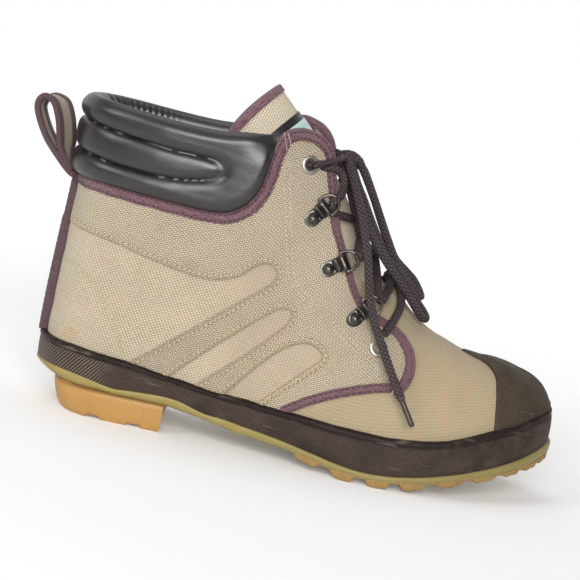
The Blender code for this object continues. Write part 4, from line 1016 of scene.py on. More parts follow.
upper = piece("canvas_upper", np.concatenate([outer.reshape(-1, 3), inner.reshape(-1, 3)]), all_faces.tolist(),
              [upper_finish.material, lining_finish.material], "canvas", ["upper"],
              np.tile(side_uv.reshape(-1, 2), (2, 1)),
              {"underlay": double(underlay), "vamp": double(on_vamp), "vamp_u": double(vamp_uv[..., 0]),
               "vamp_v": double(vamp_uv[..., 1])},
              part=np.repeat([0, 1, 0], [len(outside), len(inside) + len(hem), len(lip)]), sharp=50)

# %% [markdown]
# ## Folded edges, tape and stitches
# Where one panel lies on another its edge is folded under and stitched down with two rows of
# thread, and where an edge is free a ribbed maroon tape is wrapped round it. All of these
# follow a line on the last, so one helper steps sideways from a line along the surface, and
# each strip is a small profile carried along its own line.

# %% Stepping sideways on the last
def beside(s, v, across):
    """The (s, v) at distances across, in mm, to the left of a line on the last as seen from
    outside. The step is measured with the surface's own two slopes at each place."""
    h = 0.01
    point = last_point(s, v)
    by_s = (last_point(s + h, v) - last_point(s - h, v)) / (2 * h)
    by_v = (last_point(s, v + h) - last_point(s, v - h)) / (2 * h)
    left = np.cross(last_normal(s, v), travel(point))
    ss, sv, vv = (by_s * by_s).sum(-1), (by_s * by_v).sum(-1), (by_v * by_v).sum(-1)
    ls, lv = (left * by_s).sum(-1), (left * by_v).sum(-1)
    det = ss * vv - sv * sv
    ds, dv = (ls * vv - lv * sv) / det, (lv * ss - ls * sv) / det
    across = np.asarray(across, float)
    extra = (slice(None),) + (None,) * (across.ndim - 1) if across.ndim > 1 else slice(None)
    return s[extra] + across * ds[extra], v[extra] + across * dv[extra]


def line_places(line, count, start=(0.05, 0.7)):
    """Evenly spaced (s, v) along a side-view line on the lateral side."""
    dense = even_curve(np.array(line, float), 4 * len(line))
    places = place_line(dense, start)
    points = last_point(places[:, 0], places[:, 1])
    walked = way_along(points)
    stops = np.linspace(0, walked[-1], count)
    return np.interp(stops, walked, places[:, 0]), np.interp(stops, walked, places[:, 1])


def strip(s, v, profile, width=None, depth=None):
    """A band on the last: profile is a closed list of (across, out) in mm, its across numbers
    stretched by width and its inner out numbers by depth, both one number for each place."""
    profile = np.asarray(profile, float)
    across = profile[None, :, 0] * (np.ones(len(s)) if width is None else width)[:, None]
    out = np.broadcast_to(profile[None, :, 1], across.shape).copy()
    if depth is not None:
        out = np.where(out < -0.7, -0.7 + (out + 0.7) * depth[:, None], out)
    side_s, side_v = beside(s, v, across)
    points = last_offset(side_s, side_v, out)
    girth_way = way_along(profile * (1 if width is None else width.mean(), 1))
    cloth = np.stack([way_along(last_point(s, v))[:, None] + 0 * across, girth_way[None] + 0 * across], -1)
    return points.reshape(-1, 3), tube_faces(len(s), len(profile), flip=True), cloth.reshape(-1, 2)


def stitches(s, v, across, length, gap, radius, lift=0.1, slant=0.0):
    """A row of short thread capsules beside a line: at even steps of length + gap each capsule
    lies along the row, a little into the cloth at both ends."""
    row_s, row_v = beside(s, v, np.full(len(s), float(across)))
    points = last_point(row_s, row_v)
    walked = way_along(points)
    stops = np.arange(length, walked[-1] - length / 2, length + gap)
    at_s, at_v = np.interp(stops, walked, row_s), np.interp(stops, walked, row_v)
    way = np.stack([np.interp(stops, walked, travel(points)[:, k]) for k in range(3)], -1)
    out = last_normal(at_s, at_v)
    way = unit(way - (way * out).sum(-1, keepdims=True) * out)
    left = np.cross(out, way)
    way = unit(way + slant * left)
    left = np.cross(out, way)
    return capsules(last_point(at_s, at_v) + lift * out, way, left, out, length, radius)


BEAD_SHARES, BEAD_SIDES = (-0.98, -0.6, 0.0, 0.6, 0.98), 6    # places of a bead's rings, its sides


def capsules(centre, way, left, out, length, radius):
    """Six-sided beads stretched along way: radius * sqrt(1 - 0.96 * share ** 2) round at each
    share of half the length, dipping at the ends by 0.6 * radius * share ** 4."""
    share, rings = np.array(BEAD_SHARES)[:, None], len(BEAD_SHARES)
    turn = np.linspace(0, 2 * math.pi, BEAD_SIDES, endpoint=False)
    size = radius * np.sqrt(1 - share ** 2 * 0.96)
    ring = np.stack([np.broadcast_to(share * length / 2, (rings, BEAD_SIDES)), size * np.cos(turn),
                     size * np.sin(turn) - 0.6 * radius * share ** 4], -1).reshape(-1, 3)
    points = centre[:, None] + ring[:, :1] * way[:, None] + ring[:, 1:2] * left[:, None] + ring[:, 2:] * out[:, None]
    corners, one = rings * BEAD_SIDES, tube_faces(rings, BEAD_SIDES)
    faces = [[k + corners * i for k in face] for i in range(len(centre)) for face in one]
    return points.reshape(-1, 3), faces


# %% Tape and thread finishes
tape = Finish("maroon_tape", 0.62, Sheen_Weight=0.12, Sheen_Roughness=0.4)
u, v, w = tape.split(tape.cloth())
ribs = (u * 6.6 + tape.noise(tape.cloth(), 0.8) * 3.0).sin().size() ** 0.6
fibres = tape.noise(tape.cloth(), 0.8, 3.0, 0.65)
streaks = tape.noise(tape.cloth(), 1.1, 2.0, stretch=(0.25, 1.3, 1.0))
tone = (ribs * 0.15 + fibres * 0.8 + streaks * 0.6 - 0.28).between(0.2, 0.75)
maroon = tape.mix(tone, (0.028, 0.009, 0.014), (0.215, 0.108, 0.125))
worn = tape.noise(tape.place(), 70.0, 3.0, 0.6).between(0.5, 0.8)
maroon = tape.mix(worn * 0.4, maroon, (0.20, 0.105, 0.115))
x, y, z = tape.split(tape.place())
tape.paint(tape.mix(x.between(-0.036, -0.041) * 0.55, maroon, (0.030, 0.016, 0.017)))
tape.relief(fibres * 0.6 + ribs * 0.4, 0.5, 0.9)


def thread_finish(name, dark, pale):
    """Twisted sewing thread, uneven along its length."""
    look = Finish(name, 0.7, Sheen_Weight=0.1)
    look.paint(look.mix(look.noise(look.place(), 900.0, 2.0), dark, pale))
    return look.material


beige_thread = thread_finish("beige_thread", (0.33, 0.26, 0.14), (0.62, 0.51, 0.31))
cream_thread = thread_finish("cream_thread", (0.36, 0.30, 0.205), (0.60, 0.52, 0.38))
straw_thread = thread_finish("straw_thread", (0.36, 0.26, 0.12), (0.60, 0.48, 0.28))
pale_thread = thread_finish("pale_thread", (0.30, 0.20, 0.20), (0.66, 0.56, 0.54))
dark_thread = thread_finish("dark_thread", (0.03, 0.025, 0.028), (0.15, 0.13, 0.14))
maroon_thread = thread_finish("maroon_thread", (0.010, 0.0035, 0.005), (0.035, 0.013, 0.018))

# %% Folded edges round the fingers, with two rows of stitches
def quarter_marks(count, **marks):
    """Marks of a piece in the quarter's canvas, 5 mm clear of every panel edge, and any others."""
    clear, zero = np.full(count, -5.0), np.zeros(count)
    return {"underlay": clear, "vamp": clear, "vamp_u": zero, "vamp_v": zero, **marks}


FOLD = ((-0.5, -1.3), (-0.62, -0.2), (-0.35, 0.45), (0.4, 0.75), (1.3, 0.55), (2.4, 0.1), (2.8, -0.5))
folds, rows_of_thread = [], []
for number, line in enumerate(FINGERS):
    trimmed = np.array(line[1:-1] if number == 0 else line)
    s, v = line_places(trimmed, 190 if number == 0 else 100, (0.1, 0.5) if number == 0 else (4.0, 0.15))
    keep = last_point(s, v)[:, 2] > read_line(FOXING_TOP, last_point(s, v)[:, 0]) - 3
    s, v = s[keep], v[keep]
    for side in (1, -1):
        side_s = on_side(s, side)
        points, faces, cloth = strip(side_s, v, np.array(FOLD) * (side, 1))
        folds.append((points, faces if side > 0 else [f[::-1] for f in faces]))
        rows_of_thread.append(stitches(side_s, v, side * 1.9, 2.2, 0.8, 0.5, 0.58, side * 0.22))
COUNTER = ((-43.1, 86.0), (-24.7, 78.6), (-10.8, 64.7), (-1.4, 49.1), (2.6, 40.3))
FACING = ((72.0, 164.0), (75.5, 148.0), (79.4, 133.4), (83.5, 117.0), (88.5, 103.0), (100.0, 93.5), (121.7, 79.4),
          (140.0, 67.5), (152.2, 59.1))
facing_rows = []
for side in (1, -1):
    s, v = line_places(COUNTER, 160, (0.1, 0.4))
    rows_of_thread.append(stitches(on_side(s, side), v, 0.0, 2.4, 1.0, 0.4, 0.2))
    s, v = line_places(FACING, 220, (4.6, 0.85))
    for across in (-1.5, 1.5):
        facing_rows.append(stitches(on_side(s, side), v, across, 1.5, 1.1, 0.42, 0.16))
fold_points, fold_faces = together(*folds)
fold_mark = np.tile(-np.array(FOLD)[:, 0], len(fold_points) // len(FOLD))
piece("folded_edges", fold_points, fold_faces, upper_finish.material, "canvas",
      cloth=np.stack([fold_points[:, 0], fold_points[:, 2]], -1),
      marks=quarter_marks(len(fold_points), underlay=fold_mark))
piece("panel_stitches", *together(*rows_of_thread), beige_thread, "canvas")
piece("facing_stitches", *together(*facing_rows), cream_thread, "canvas")
# partly painted highlight: the straw-coloured cord along the third finger's edge is yellow thread, and its brightness
# also stands for the light on the fold's edge there.
STRAW_LINE = ((111.4, 70.2), (114.0, 67.2), (113.6, 62.8), (108.6, 57.4), (97.0, 45.0), (84.0, 30.9))
straw_rows = []
for side in (1, -1):
    s, v = line_places(STRAW_LINE, 120, (6.0, 0.4))
    straw_rows.append(stitches(on_side(s, side), v, side * 0.6, 2.6, 0.1, 0.62, 0.75, side * 0.3))
piece("straw_cord", *together(*straw_rows), straw_thread, "canvas")

# %% [markdown]
# ## Maroon tape
# One length of tape wraps the upper's free edge: from the heel under the collar, up round the
# tab, down the facing, and then flat round the curl where the quarter ends on the vamp. A
# second length covers the seam between quarter and vamp, down to the foxing.

# %% Lift of the inner tab
def lifted(points):
    """The tab on the other side stands up to 3.5 mm higher than the near one."""
    points = np.array(points, float)
    share = ease(points[..., 2], 150, 184) * (points[..., 1] > 0) * ease(points[..., 0], 58, 72)
    points[..., 2] += 3.5 * share * (1 - ease(points[..., 0], 92, 108))
    return points


# %% Tape round the free edge and over the vamp seam
WRAP = ((-0.16, -1.8), (-0.16, -0.3), (-0.08, 0.8), (0.08, 1.2), (0.2, 0.7), (0.34, 1.15), (0.66, 1.2),
        (0.8, 0.65), (0.92, 0.95), (0.99, 0.6), (1.02, -0.4), (0.85, -0.9), (0.8, -3.3), (0.0, -3.3),
        (-0.12, -2.7))
FLAT = ((-0.05, -0.6), (-0.04, 0.5), (0.05, 0.95), (0.2, 0.65), (0.36, 1.1), (0.64, 1.1), (0.8, 0.65),
        (0.95, 0.95), (1.04, 0.5), (1.05, -0.6))
WRAP_END, FREE_FROM = 232, 230          # way along the tape, mm, to the last place where it wraps the edge
SEAM_STEPS, SEAM_WIDTH = 60, 4.9
EDGE_WIDTHS = ((0, 6.3), (90, 6.3), (130, 6.4), (170, 6.2), (200, 6.0), (225, 4.6), (250, 3.9), (290, 4.0),
               (318, 5.4), (420, 5.6))          # distance along the tape, its width
edge_line = TOP_LINE + CURL[1:]
edge_s, edge_v = line_places(edge_line, 330)
edge_s[0] = 0.0
edge_walk = way_along(last_point(edge_s, edge_v))
edge_width = read_line(EDGE_WIDTHS, edge_walk)
edge_width *= 1 + 0.035 * np.sin(edge_walk * 1.9) + 0.02 * np.sin(edge_walk * 0.37)
free = 1 - (1 - ease(last_point(edge_s, edge_v)[:, 2], 98.0, 112.0)) * (edge_walk > FREE_FROM)
seam_s, seam_v = line_places(VAMP_SEAM, SEAM_STEPS, (8.0, 0.45))
tapes, tape_threads, pale_rows = [], [], []
for side in (1, -1):
    for s, v, profile, width, depth in ((edge_s, edge_v, WRAP, edge_width, free),
                                        (seam_s, seam_v, FLAT, np.full(SEAM_STEPS, SEAM_WIDTH), None)):
        points, faces, cloth = strip(on_side(s, side), v, np.array(profile) * (-side, 1), width, depth)
        tapes.append((lifted(points), [f[::-1] for f in faces] if side > 0 else faces, cloth))
    upper_part = edge_walk < WRAP_END
    for across in (0.2, 0.8):
        dense_s, dense_v = beside(edge_s, edge_v, -across * edge_width)
        points, faces = stitches(on_side(dense_s[upper_part], side), dense_v[upper_part], 0.0, 1.9, 0.9, 0.33, 0.85)
        tape_threads.append((lifted(points), faces))
    flat_s, flat_v = on_side(edge_s[~upper_part], side), edge_v[~upper_part]
    tape_threads.append(stitches(flat_s, flat_v, -side * 2.9, 2.2, 1.3, 0.28, 0.92))
    for across in (0.8, 3.9):
        tape_threads.append(stitches(on_side(seam_s, side), seam_v, -side * across, 1.9, 1.2, 0.28, 0.85))
    pale_rows.append(stitches(on_side(seam_s, side), seam_v, -side * 2.4, 0.8, 2.4, 0.24, 0.82))
tape_cloth = np.concatenate([t[2] for t in tapes])
piece("edge_tape", *together(*[t[:2] for t in tapes]), tape.material, "binding", cloth=tape_cloth)
piece("tape_stitches", *together(*tape_threads), maroon_thread, "binding")


def bar_tack(side, start, end, bars, reach):
    """A short bar of dense thread: small capsules laid across the line from start to end."""
    s, v = line_places((start, end), bars, (4.5, 0.9) if start[0] < 100 else (8.5, 0.45))
    s = on_side(s, side)
    way = travel(last_point(s, v))
    out = last_normal(s, v)
    return capsules(last_point(s, v) + 1.1 * out, unit(np.cross(out, way)), way, out, reach, 0.34)


for side in (1, -1):
    for start, end in (((66.2, 182.6), (69.4, 174.4)), ((68.6, 182.4), (71.2, 176.4))):
        points, faces = bar_tack(side, start, end, 9, 0.9)
        pale_rows.append((lifted(points), faces))
    pale_rows.append(bar_tack(side, (157.5, 57.8), (155.8, 52.6), 9, 1.7))
piece("pale_stitches", *together(*pale_rows), pale_thread, "binding")

# %% [markdown]
# ## The padded collar
# The collar is leather cloth over foam, sewn down along one U-shaped channel so that it swells
# in three rolls: the top and the bottom one meet in front of the middle one. A simulated
# cushion would round off the channel, so the swelling is written down: at each place it is a
# quarter circle of the distance to the channel times a quarter circle of the distance to the
# lower edge, and the rim is closed by half an ellipse from the outer to the inner face.

# %% Collar shape
CHANNEL = ((-90.0, 168.0), (-49.6, 167.4), (-41.8, 166.8), (-21.6, 163.5), (6.4, 161.2), (20.0, 160.9),
           (31.4, 160.4), (36.3, 158.6), (38.0, 155.2), (36.1, 151.6), (31.1, 149.0), (17.0, 146.0),
           (0.3, 144.9), (-22.2, 145.9), (-39.6, 148.5), (-49.7, 150.3), (-90.0, 150.5))
COLLAR_COLUMNS, COLLAR_ROWS = 210, 64
SWELL = 5.7                             # how far the rolls stand out, mm
CHANNEL_REACH, LOW_REACH = 6.5, 8.5     # over these ways from channel and lower edge they rise, mm
RIM_REACH = 6.5                         # over this way the rim rounds off, mm
EVENING_ROUNDS = 14


def quarter(distance, reach):
    """Quarter circle: 0 at no distance, 1 at reach and beyond."""
    return np.sqrt(1 - (1 - np.clip(distance / reach, 0, 1)) ** 2)


def collar_places(half_columns, rows):
    """(s, v) of the collar: from just under its lower edge, fanned out to the rim."""
    low = place_line(TOP_LINE[:9])
    low[0, 0] = 0.0
    low = even_curve(low * (1, 6), half_columns) / (1, 6)
    top = np.linspace(0, 4.72, half_columns)
    top = np.stack([top, 0.995 - 0.022 * ease(top, 4.0, 4.72)], 1)
    share = 1 - (1 - np.linspace(0, 1, rows)) ** 1.35
    s = low[:, :1] + (top[:, :1] - low[:, :1]) * share
    v = low[:, 1:] + (top[:, 1:] - low[:, 1:]) * share
    return s, v, np.broadcast_to(share, s.shape)


s, v, share = collar_places(COLLAR_COLUMNS, COLLAR_ROWS)
bare = last_point(s, v)
from_low = way_along(bare, 1)
channel = even_curve(CHANNEL, 260)
channel_way = edge_distance(bare.reshape(-1, 3)[:, [0, 2]], channel[:-1], channel[1:]).reshape(s.shape)
end = 1 - ease(np.linspace(0, 1, len(s)), 0.93, 1.0)[:, None]
beyond = ease(bare[..., 0], 44, 64) * ease(bare[..., 2], 163, 178)
swell = 0.36 + 0.64 * quarter(channel_way, CHANNEL_REACH)
swell = swell * quarter(from_low + 0.6, LOW_REACH) * (1 - 0.75 * beyond)
pucker = 0.16 * np.exp(-channel_way / 1.8) * np.sin(bare[..., 0] * 1.85 + np.sin(bare[..., 0] * 0.31) * 2)
crinkle = 0.09 * np.sin(0.31 * bare[..., 0] + 0.4 * bare[..., 2]) * np.sin(0.21 * bare[..., 0] - 0.5 * bare[..., 2])
back_fuller = 1 + 0.22 * (1 - ease(bare[..., 0], -46, -8))
out = 0.2 + end * (SWELL * swell * back_fuller + (pucker + crinkle) * swell)
ribs = 0.22 * np.sin(bare[..., 0] * 1.7 + bare[..., 2] * 0.2) * ease(share, 0.5, 0.9)
ribs = ribs * (1 - ease(bare[..., 0], -20, 15))
inside = -(3.6 + 4.6 * end * np.sin(math.pi * np.clip(share * 0.9 + 0.1, 0, 1)) ** 0.5) - ribs * end
rim_way = from_low[:, -1:] - from_low
cap = quarter(rim_way, RIM_REACH)
middle, half = (out + inside) / 2, (out - inside) / 2
middle = middle + (inside[:, -8:-7] * 0.35 + 1.0) * (1 - ease(rim_way, 0, 7.5))
out, inside = middle + half * cap, middle - half * cap
both = lambda a, turn=False: np.concatenate([(medial(a) - 2 * TOE_ROW if turn else a)[:0:-1], a])
s, v, out, inside = both(s, True), both(v), both(out), both(inside)
columns, rows = s.shape
outer, inner = last_offset(s, v, out), last_offset(s, v, inside)[:, :-1]
for _ in range(EVENING_ROUNDS):         # each round evens every column with its neighbours
    outer[1:-1] = (outer[:-2] + 2 * outer[1:-1] + outer[2:]) / 4
points = np.concatenate([outer, inner[:, ::-1]], 1)
loop_count = 2 * rows - 1
faces = grid_quads(columns, loop_count, loop=True).tolist()
for column, flip in ((0, False), (columns - 1, True)):    # both ends are filled from face to face
    first = column * loop_count
    for j in range(rows - 1):
        a, b = first + j, first + j + 1
        c, d = first + loop_count - 2 - j, first + loop_count - 1 - j
        face = tuple(dict.fromkeys((a, d, c, b) if j < rows - 2 else (a, d, b)))
        faces.append(face if not flip else face[::-1])
leather = Finish("collar_leather", 0.42, Specular_IOR_Level=0.85)
place = leather.place()
cells = leather.node("TexVoronoi", 0, {"feature": "F1"}, Vector=place, Scale=900.0)
grain = leather.noise(place, 420.0, 4.0, 0.6)
soft = leather.noise(place, 30.0, 3.0)
leather.paint(leather.mix(grain * 0.5 + soft * 0.5, (0.0045, 0.003, 0.0035), (0.011, 0.008, 0.0095)),
              grain * 0.14 + soft * 0.08 + 0.27)
leather.relief(cells * 0.6 + grain * 0.4, 0.12, 0.45)
collar = piece("collar_pad", points, faces, leather.material, "leatherette", ["collar"], sharp=70)

# %% Stitches in the collar's channel
channel_rows = []
for side in (1, -1):
    s, v = line_places(CHANNEL[1:-1], 220, (0.0, 0.92))
    s = np.clip(s, 0.02, None)
    channel_rows.append(stitches(on_side(s, side), v, 0.0, 1.5, 1.0, 0.3, 2.55))
piece("collar_stitches", *together(*channel_rows), dark_thread, "leatherette")

# %% [markdown]
# ## The tongue
# The tongue is an arched strip of the same canvas that lies under the facings. Each of its
# sections is part of an ellipse in the plane across its ridge, and maroon tape binds its top.

# %% Tongue
TONGUE_THICK = 3.0
TONGUE_LENGTH, HALF_ARCH = 155.0, 44.0  # way up the ridge and from the ridge to one edge, mm
ALONG_STEPS, ACROSS_STEPS = 110, 80
# x and z of the ridge, half width and drop from the ridge to the edges.
TONGUE = (
    (151.6, 98.8, 29.0, 33.0), (141.0, 106.8, 29.5, 34.0), (129.5, 119.4, 29.5, 35.0),
    (119.5, 134.5, 29.0, 35.0), (110.5, 149.0, 28.0, 35.0), (99.5, 163.2, 27.0, 35.0),
    (87.0, 178.2, 26.0, 35.0), (74.0, 191.0, 25.5, 40.0), (57.5, 206.5, 25.0, 47.0),
)


def tongue_point(t, turn, inset=0.0):
    """Point of the tongue at t (0 at the vamp, 1 at the top) and turn (-1 to 1 across its arch):
    the ridge plus half * sin and drop * (1 - cos) of the angle, in the plane across the ridge."""
    row = smooth_curve(TONGUE, t)
    slope = smooth_curve(TONGUE, t + 0.01)[:, :2] - smooth_curve(TONGUE, t - 0.01)[:, :2]
    slope /= np.linalg.norm(slope, axis=1, keepdims=True)
    inwards = np.stack([-slope[:, 1], slope[:, 0]], 1)
    inwards *= np.sign(inwards[:, :1]) * -1
    angle = turn * math.radians(86)
    half, drop = row[:, 2] - inset, row[:, 3] - inset
    fall = drop * (1 - np.cos(angle)) + inset
    side = row[:, :2] + inwards * fall[:, None]
    return np.stack([side[:, 0], half * np.sin(angle), side[:, 1]], 1)


def closed_wall(outer, inner):
    """A sheet with thickness from two grids of the same size: both faces and all four edges."""
    columns, rows = outer.shape[:2]
    total = columns * rows
    number = np.arange(total).reshape(columns, rows)
    rim = np.concatenate([number[:, 0], number[-1, 1:], number[-2::-1, -1], number[0, -2:0:-1]])
    after = np.roll(rim, -1)
    faces = grid_quads(columns, rows).tolist() + grid_quads(columns, rows, first=total)[:, ::-1].tolist()
    faces += np.stack([rim, rim + total, after + total, after], -1).tolist()
    return np.concatenate([outer.reshape(-1, 3), inner.reshape(-1, 3)]), faces


def rounded_end(t, turn):
    """Sets the corners of the tongue's end back by 3.5 % of its length times turn ** 4."""
    return t - 0.035 * np.abs(turn) ** 4 * ease(t, 0.7, 1.0)


t, turn = np.meshgrid(np.linspace(0.01, 0.985, ALONG_STEPS), np.linspace(-1, 1, ACROSS_STEPS))
wave = 0.35 * np.sin(9 * t + 2 * turn) * np.sin(5 * turn)
ends = rounded_end(t, turn).ravel()
outer = tongue_point(ends, turn.ravel(), wave.ravel()).reshape(*t.shape, 3)
inner = tongue_point(ends, turn.ravel(), TONGUE_THICK).reshape(*t.shape, 3)
points, faces = closed_wall(outer, inner)
faces = [face[::-1] for face in faces]
cloth = np.stack([turn * HALF_ARCH, t * TONGUE_LENGTH], -1).reshape(-1, 2)
piece("canvas_tongue", points, faces, upper_finish.material, "canvas", ["tongue"], np.tile(cloth, (2, 1)),
      quarter_marks(len(points), tongue=np.ones(len(points))))

# %% Tape over the tongue's top edge
TAPE_STEPS = 120
TOP_TAPE = ((0.976, 0.3), (0.974, -0.9), (0.978, -1.1), (0.986, -0.95), (0.992, -1.1), (0.998, -0.6),
            (1.0, 0.5), (1.0, 2.4), (0.997, 3.6), (0.982, 4.0), (0.968, 3.9), (0.966, 2.8))
turn = np.linspace(-1, 1, TAPE_STEPS)
ring = [tongue_point(rounded_end(np.full(TAPE_STEPS, a), turn), turn, b) for a, b in TOP_TAPE]
points = np.stack(ring, 1)
faces = tube_faces(TAPE_STEPS, len(ring))
cloth = np.stack(np.broadcast_arrays(turn[:, None] * HALF_ARCH, np.arange(len(ring))[None] * 1.2), -1)
piece("tongue_tape", points, faces, tape.material, "binding", cloth=cloth)

# %% Lining band and blank label on the tongue
def on_tongue(t, turn, low, high):
    """A thin closed sheet over the tongue between the heights low and high, in mm."""
    t, turn = np.meshgrid(t, turn)
    places = rounded_end(t, turn).ravel()
    outer, inner = (tongue_point(places, turn.ravel(), -h).reshape(*t.shape, 3) for h in (high, low))
    points, faces = closed_wall(outer, inner)
    return points, [face[::-1] for face in faces]


points, faces = on_tongue(np.linspace(0.70, 0.897, 40), np.linspace(-0.97, 0.97, 60), -0.4, 0.75)
piece("tongue_band", points, faces, leather.material, "leatherette")
label = Finish("blank_label", 0.6, Sheen_Weight=0.2)
label.paint(label.mix(label.noise(label.place(), 260.0, 3.0), (0.22, 0.42, 0.42), (0.66, 0.76, 0.72)))
label.relief(label.noise(label.place(), 900.0, 2.0), 0.1, 0.4)
points, faces = on_tongue(np.linspace(0.80, 0.868, 20), np.linspace(-0.62, 0.16, 24), 0.4, 1.15)
piece("tongue_label", points, faces, label.material, "canvas")

# %% [markdown]
# ## Back seam and pull loop
# The two quarters meet at the heel in a seam bound with the same tape, which stands out as a
# narrow fin. Above it a strip of canvas, taped along both edges, is sewn down as a pull loop.
# The loop is a flat band carried round a closed line, a little wider at its top than its foot.

# %% Back seam
low = height_share(np.array([0.0]), FOXING_TOP, rise=-1.0)[0]
high = height_share(np.array([0.0]), ((-60.0, 136.0), (0.0, 136.0)))[0]
SPINE_STEPS = 150
v = np.linspace(low, high, SPINE_STEPS)
spine = last_point(np.zeros(SPINE_STEPS), v)
spine_out = last_normal(np.zeros(SPINE_STEPS), v)
fuller = 1 + 0.16 * (1 - ease(spine[:, 2], 106.6, 108.0)) - 0.4 * ease(spine[:, 2], 131.5, 136)
fuller = fuller + 0.02 * np.sin(spine[:, 2] * 1.7)
FIN = ((-1.9, -1.5), (1.9, -1.5), (1.9, 0.3), (1.75, 2.4), (1.3, 3.9), (0.0, 4.35), (-1.3, 3.9),
       (-1.75, 2.4), (-1.9, 0.3))
profile = np.array(FIN)[None] * np.stack([fuller, 0.25 + 0.75 * fuller], -1)[:, None]
points, faces = carried(spine, np.tile((0.0, 1.0, 0.0), (SPINE_STEPS, 1)), spine_out, profile)
spine_way = np.linspace(0, length_of(spine), SPINE_STEPS)
cloth = np.stack(np.broadcast_arrays(spine_way[:, None], np.arange(len(FIN))[None] * 1.4), -1)
piece("heel_seam_tape", points, [face[::-1] for face in faces], tape.material, "binding", ["back_seam"], cloth=cloth)

# %% Pull loop
LOOP_LINE = ((-46.9, 131.6), (-49.2, 132.6), (-53.4, 136.2), (-59.6, 143.2), (-67.0, 152.8), (-72.6, 163.6),
             (-72.9, 169.0), (-70.4, 172.2), (-67.0, 172.8), (-62.2, 170.4), (-58.2, 162.4), (-55.6, 152.4),
             (-54.2, 144.0), (-51.6, 138.4), (-48.4, 134.4))
LOOP_STEPS = 150
loop = even_curve(LOOP_LINE, LOOP_STEPS)
loop_way = travel(loop)
loop_out = np.stack([-loop_way[:, 1], loop_way[:, 0]], -1)
near_top = ease(loop[:, 1], 132, 150)
half = 4.0 + 5.6 * near_top
front_leg = ease(np.linspace(0, 1, LOOP_STEPS), 0.42, 0.62)
sway = 0.06 + 0.26 * front_leg


def loop_points(across, out):
    """Points of the loop's band: across in shares of its half width, out in mm from its line."""
    across, out = np.broadcast_arrays(np.asarray(across, float), np.asarray(out, float))
    y = across * half[:, None]
    x = loop[:, None, 0] + out * loop_out[:, None, 0] + sway[:, None] * near_top[:, None] * y
    z = loop[:, None, 1] + out * loop_out[:, None, 1]
    return np.stack([x, y, z], -1)


def loop_band(profile, flip=False):
    """A closed profile of (across, out) carried along the loop's line."""
    profile = np.array(profile)
    points = loop_points(profile[None, :, 0], profile[None, :, 1] + 0 * half[:, None])
    return points.reshape(-1, 3), tube_faces(LOOP_STEPS, len(profile), flip)


band = [(a, 0.75) for a in np.linspace(-0.9, 0.9, 9)] + [(a, -0.75) for a in np.linspace(0.9, -0.9, 9)]
points, faces = loop_band(band)
piece("pull_loop_strap", points, faces, upper_finish.material, "canvas", cloth=points[:, [1, 2]],
      marks=quarter_marks(len(points)))
edge_near = [(-1.06, -1.0), (-0.94, -1.9), (-0.60, -1.5), (-0.56, 0.0), (-0.60, 1.5), (-0.94, 1.9), (-1.06, 1.0)]
edge_far = [(-a, b) for a, b in edge_near]
points, faces = together(loop_band(edge_near), loop_band(edge_far, True))
loop_walk, tape_way = np.linspace(0, length_of(loop), LOOP_STEPS), np.arange(len(edge_near)) * 1.3
cloth = np.stack([np.tile(np.repeat(loop_walk, len(tape_way)), 2), np.tile(tape_way, 2 * LOOP_STEPS)], -1)
piece("pull_loop_tape", points, faces, tape.material, "binding", ["pull_loop"], cloth=cloth)

# %% [markdown]
# ## Rubber foxing and toe cap
# A dark rubber strip, the foxing, is wrapped hot round the bottom of the upper and covers the
# joint with the sole; a thinner rubber cap is laid over the toe. Both are calendered with a
# fine cloth pattern, drawn in the finish, while the bead along the foxing's top, the groove
# under it and the waves left by hand-wrapping are real relief.

# %% Rubber finish
def rubber(name, dark, pale, ribs_at_heel):
    """Dusty rubber with a fine hatch; the foxing's heel has slanted ribs instead."""
    look = Finish(name, 0.5, Specular_IOR_Level=0.24)
    u, v, w = look.split(look.cloth())
    x, y, z = look.split(look.place())
    hatch = (u * 2.9 + v * 2.6).sin() * (u * 2.9 - v * 2.6).sin() * 0.5 + 0.5
    slanted = (u * 3.1 - v * 2.5).sin() * 0.5 + 0.5
    heel = x.between(0.002, -0.012)
    pattern = hatch * (heel * -1 + 1) + slanted * heel if ribs_at_heel else hatch
    patches = look.noise(look.place(), 38.0, 2.0).between(0.38, 0.56)
    shown = patches * 0.6 + 0.4
    if ribs_at_heel:
        shown = (shown + heel * 0.5) * look.mark("height").between(0.80, 0.74)
    dust = look.noise(look.place(), 120.0, 4.0, 0.65).between(0.5, 0.85)
    base = look.mix(pattern * shown, dark, pale)
    if ribs_at_heel:
        base = look.mix(pattern * shown * heel * 0.36, base, (0.21, 0.17, 0.14))
    scratch = look.noise(look.place(), 160.0, 3.0, 0.6, stretch=(0.25, 0.25, 1.6)).between(0.62, 0.74)
    base = look.mix(scratch * 0.5, base, (0.17, 0.145, 0.12))
    heel_gloss = heel * -0.14 + 0.40 if ribs_at_heel else 0.34
    look.paint(look.mix(dust * 0.22, base, (0.13, 0.115, 0.095)),
               look.noise(look.place(), 55.0, 3.0) * 0.3 + pattern * shown * 0.12 + heel_gloss)
    look.relief(pattern * shown, 0.5, 0.9)
    scuffs = look.noise(look.place(), 240.0, 3.0)
    look.relief(scuffs, 0.05, 0.5)
    return look.material


foxing_rubber = rubber("foxing_rubber", (0.0125, 0.0062, 0.0048), (0.088, 0.061, 0.047), True)
cap_rubber = rubber("toe_cap_rubber", (0.026, 0.0165, 0.0105), (0.078, 0.056, 0.036), False)

# %% Foxing
def arch_share(x):
    """1 under the arch of the foot, between heel and forefoot, and 0 beyond it."""
    return ease(x, -5, 15) * (1 - ease(x, 62, 84))


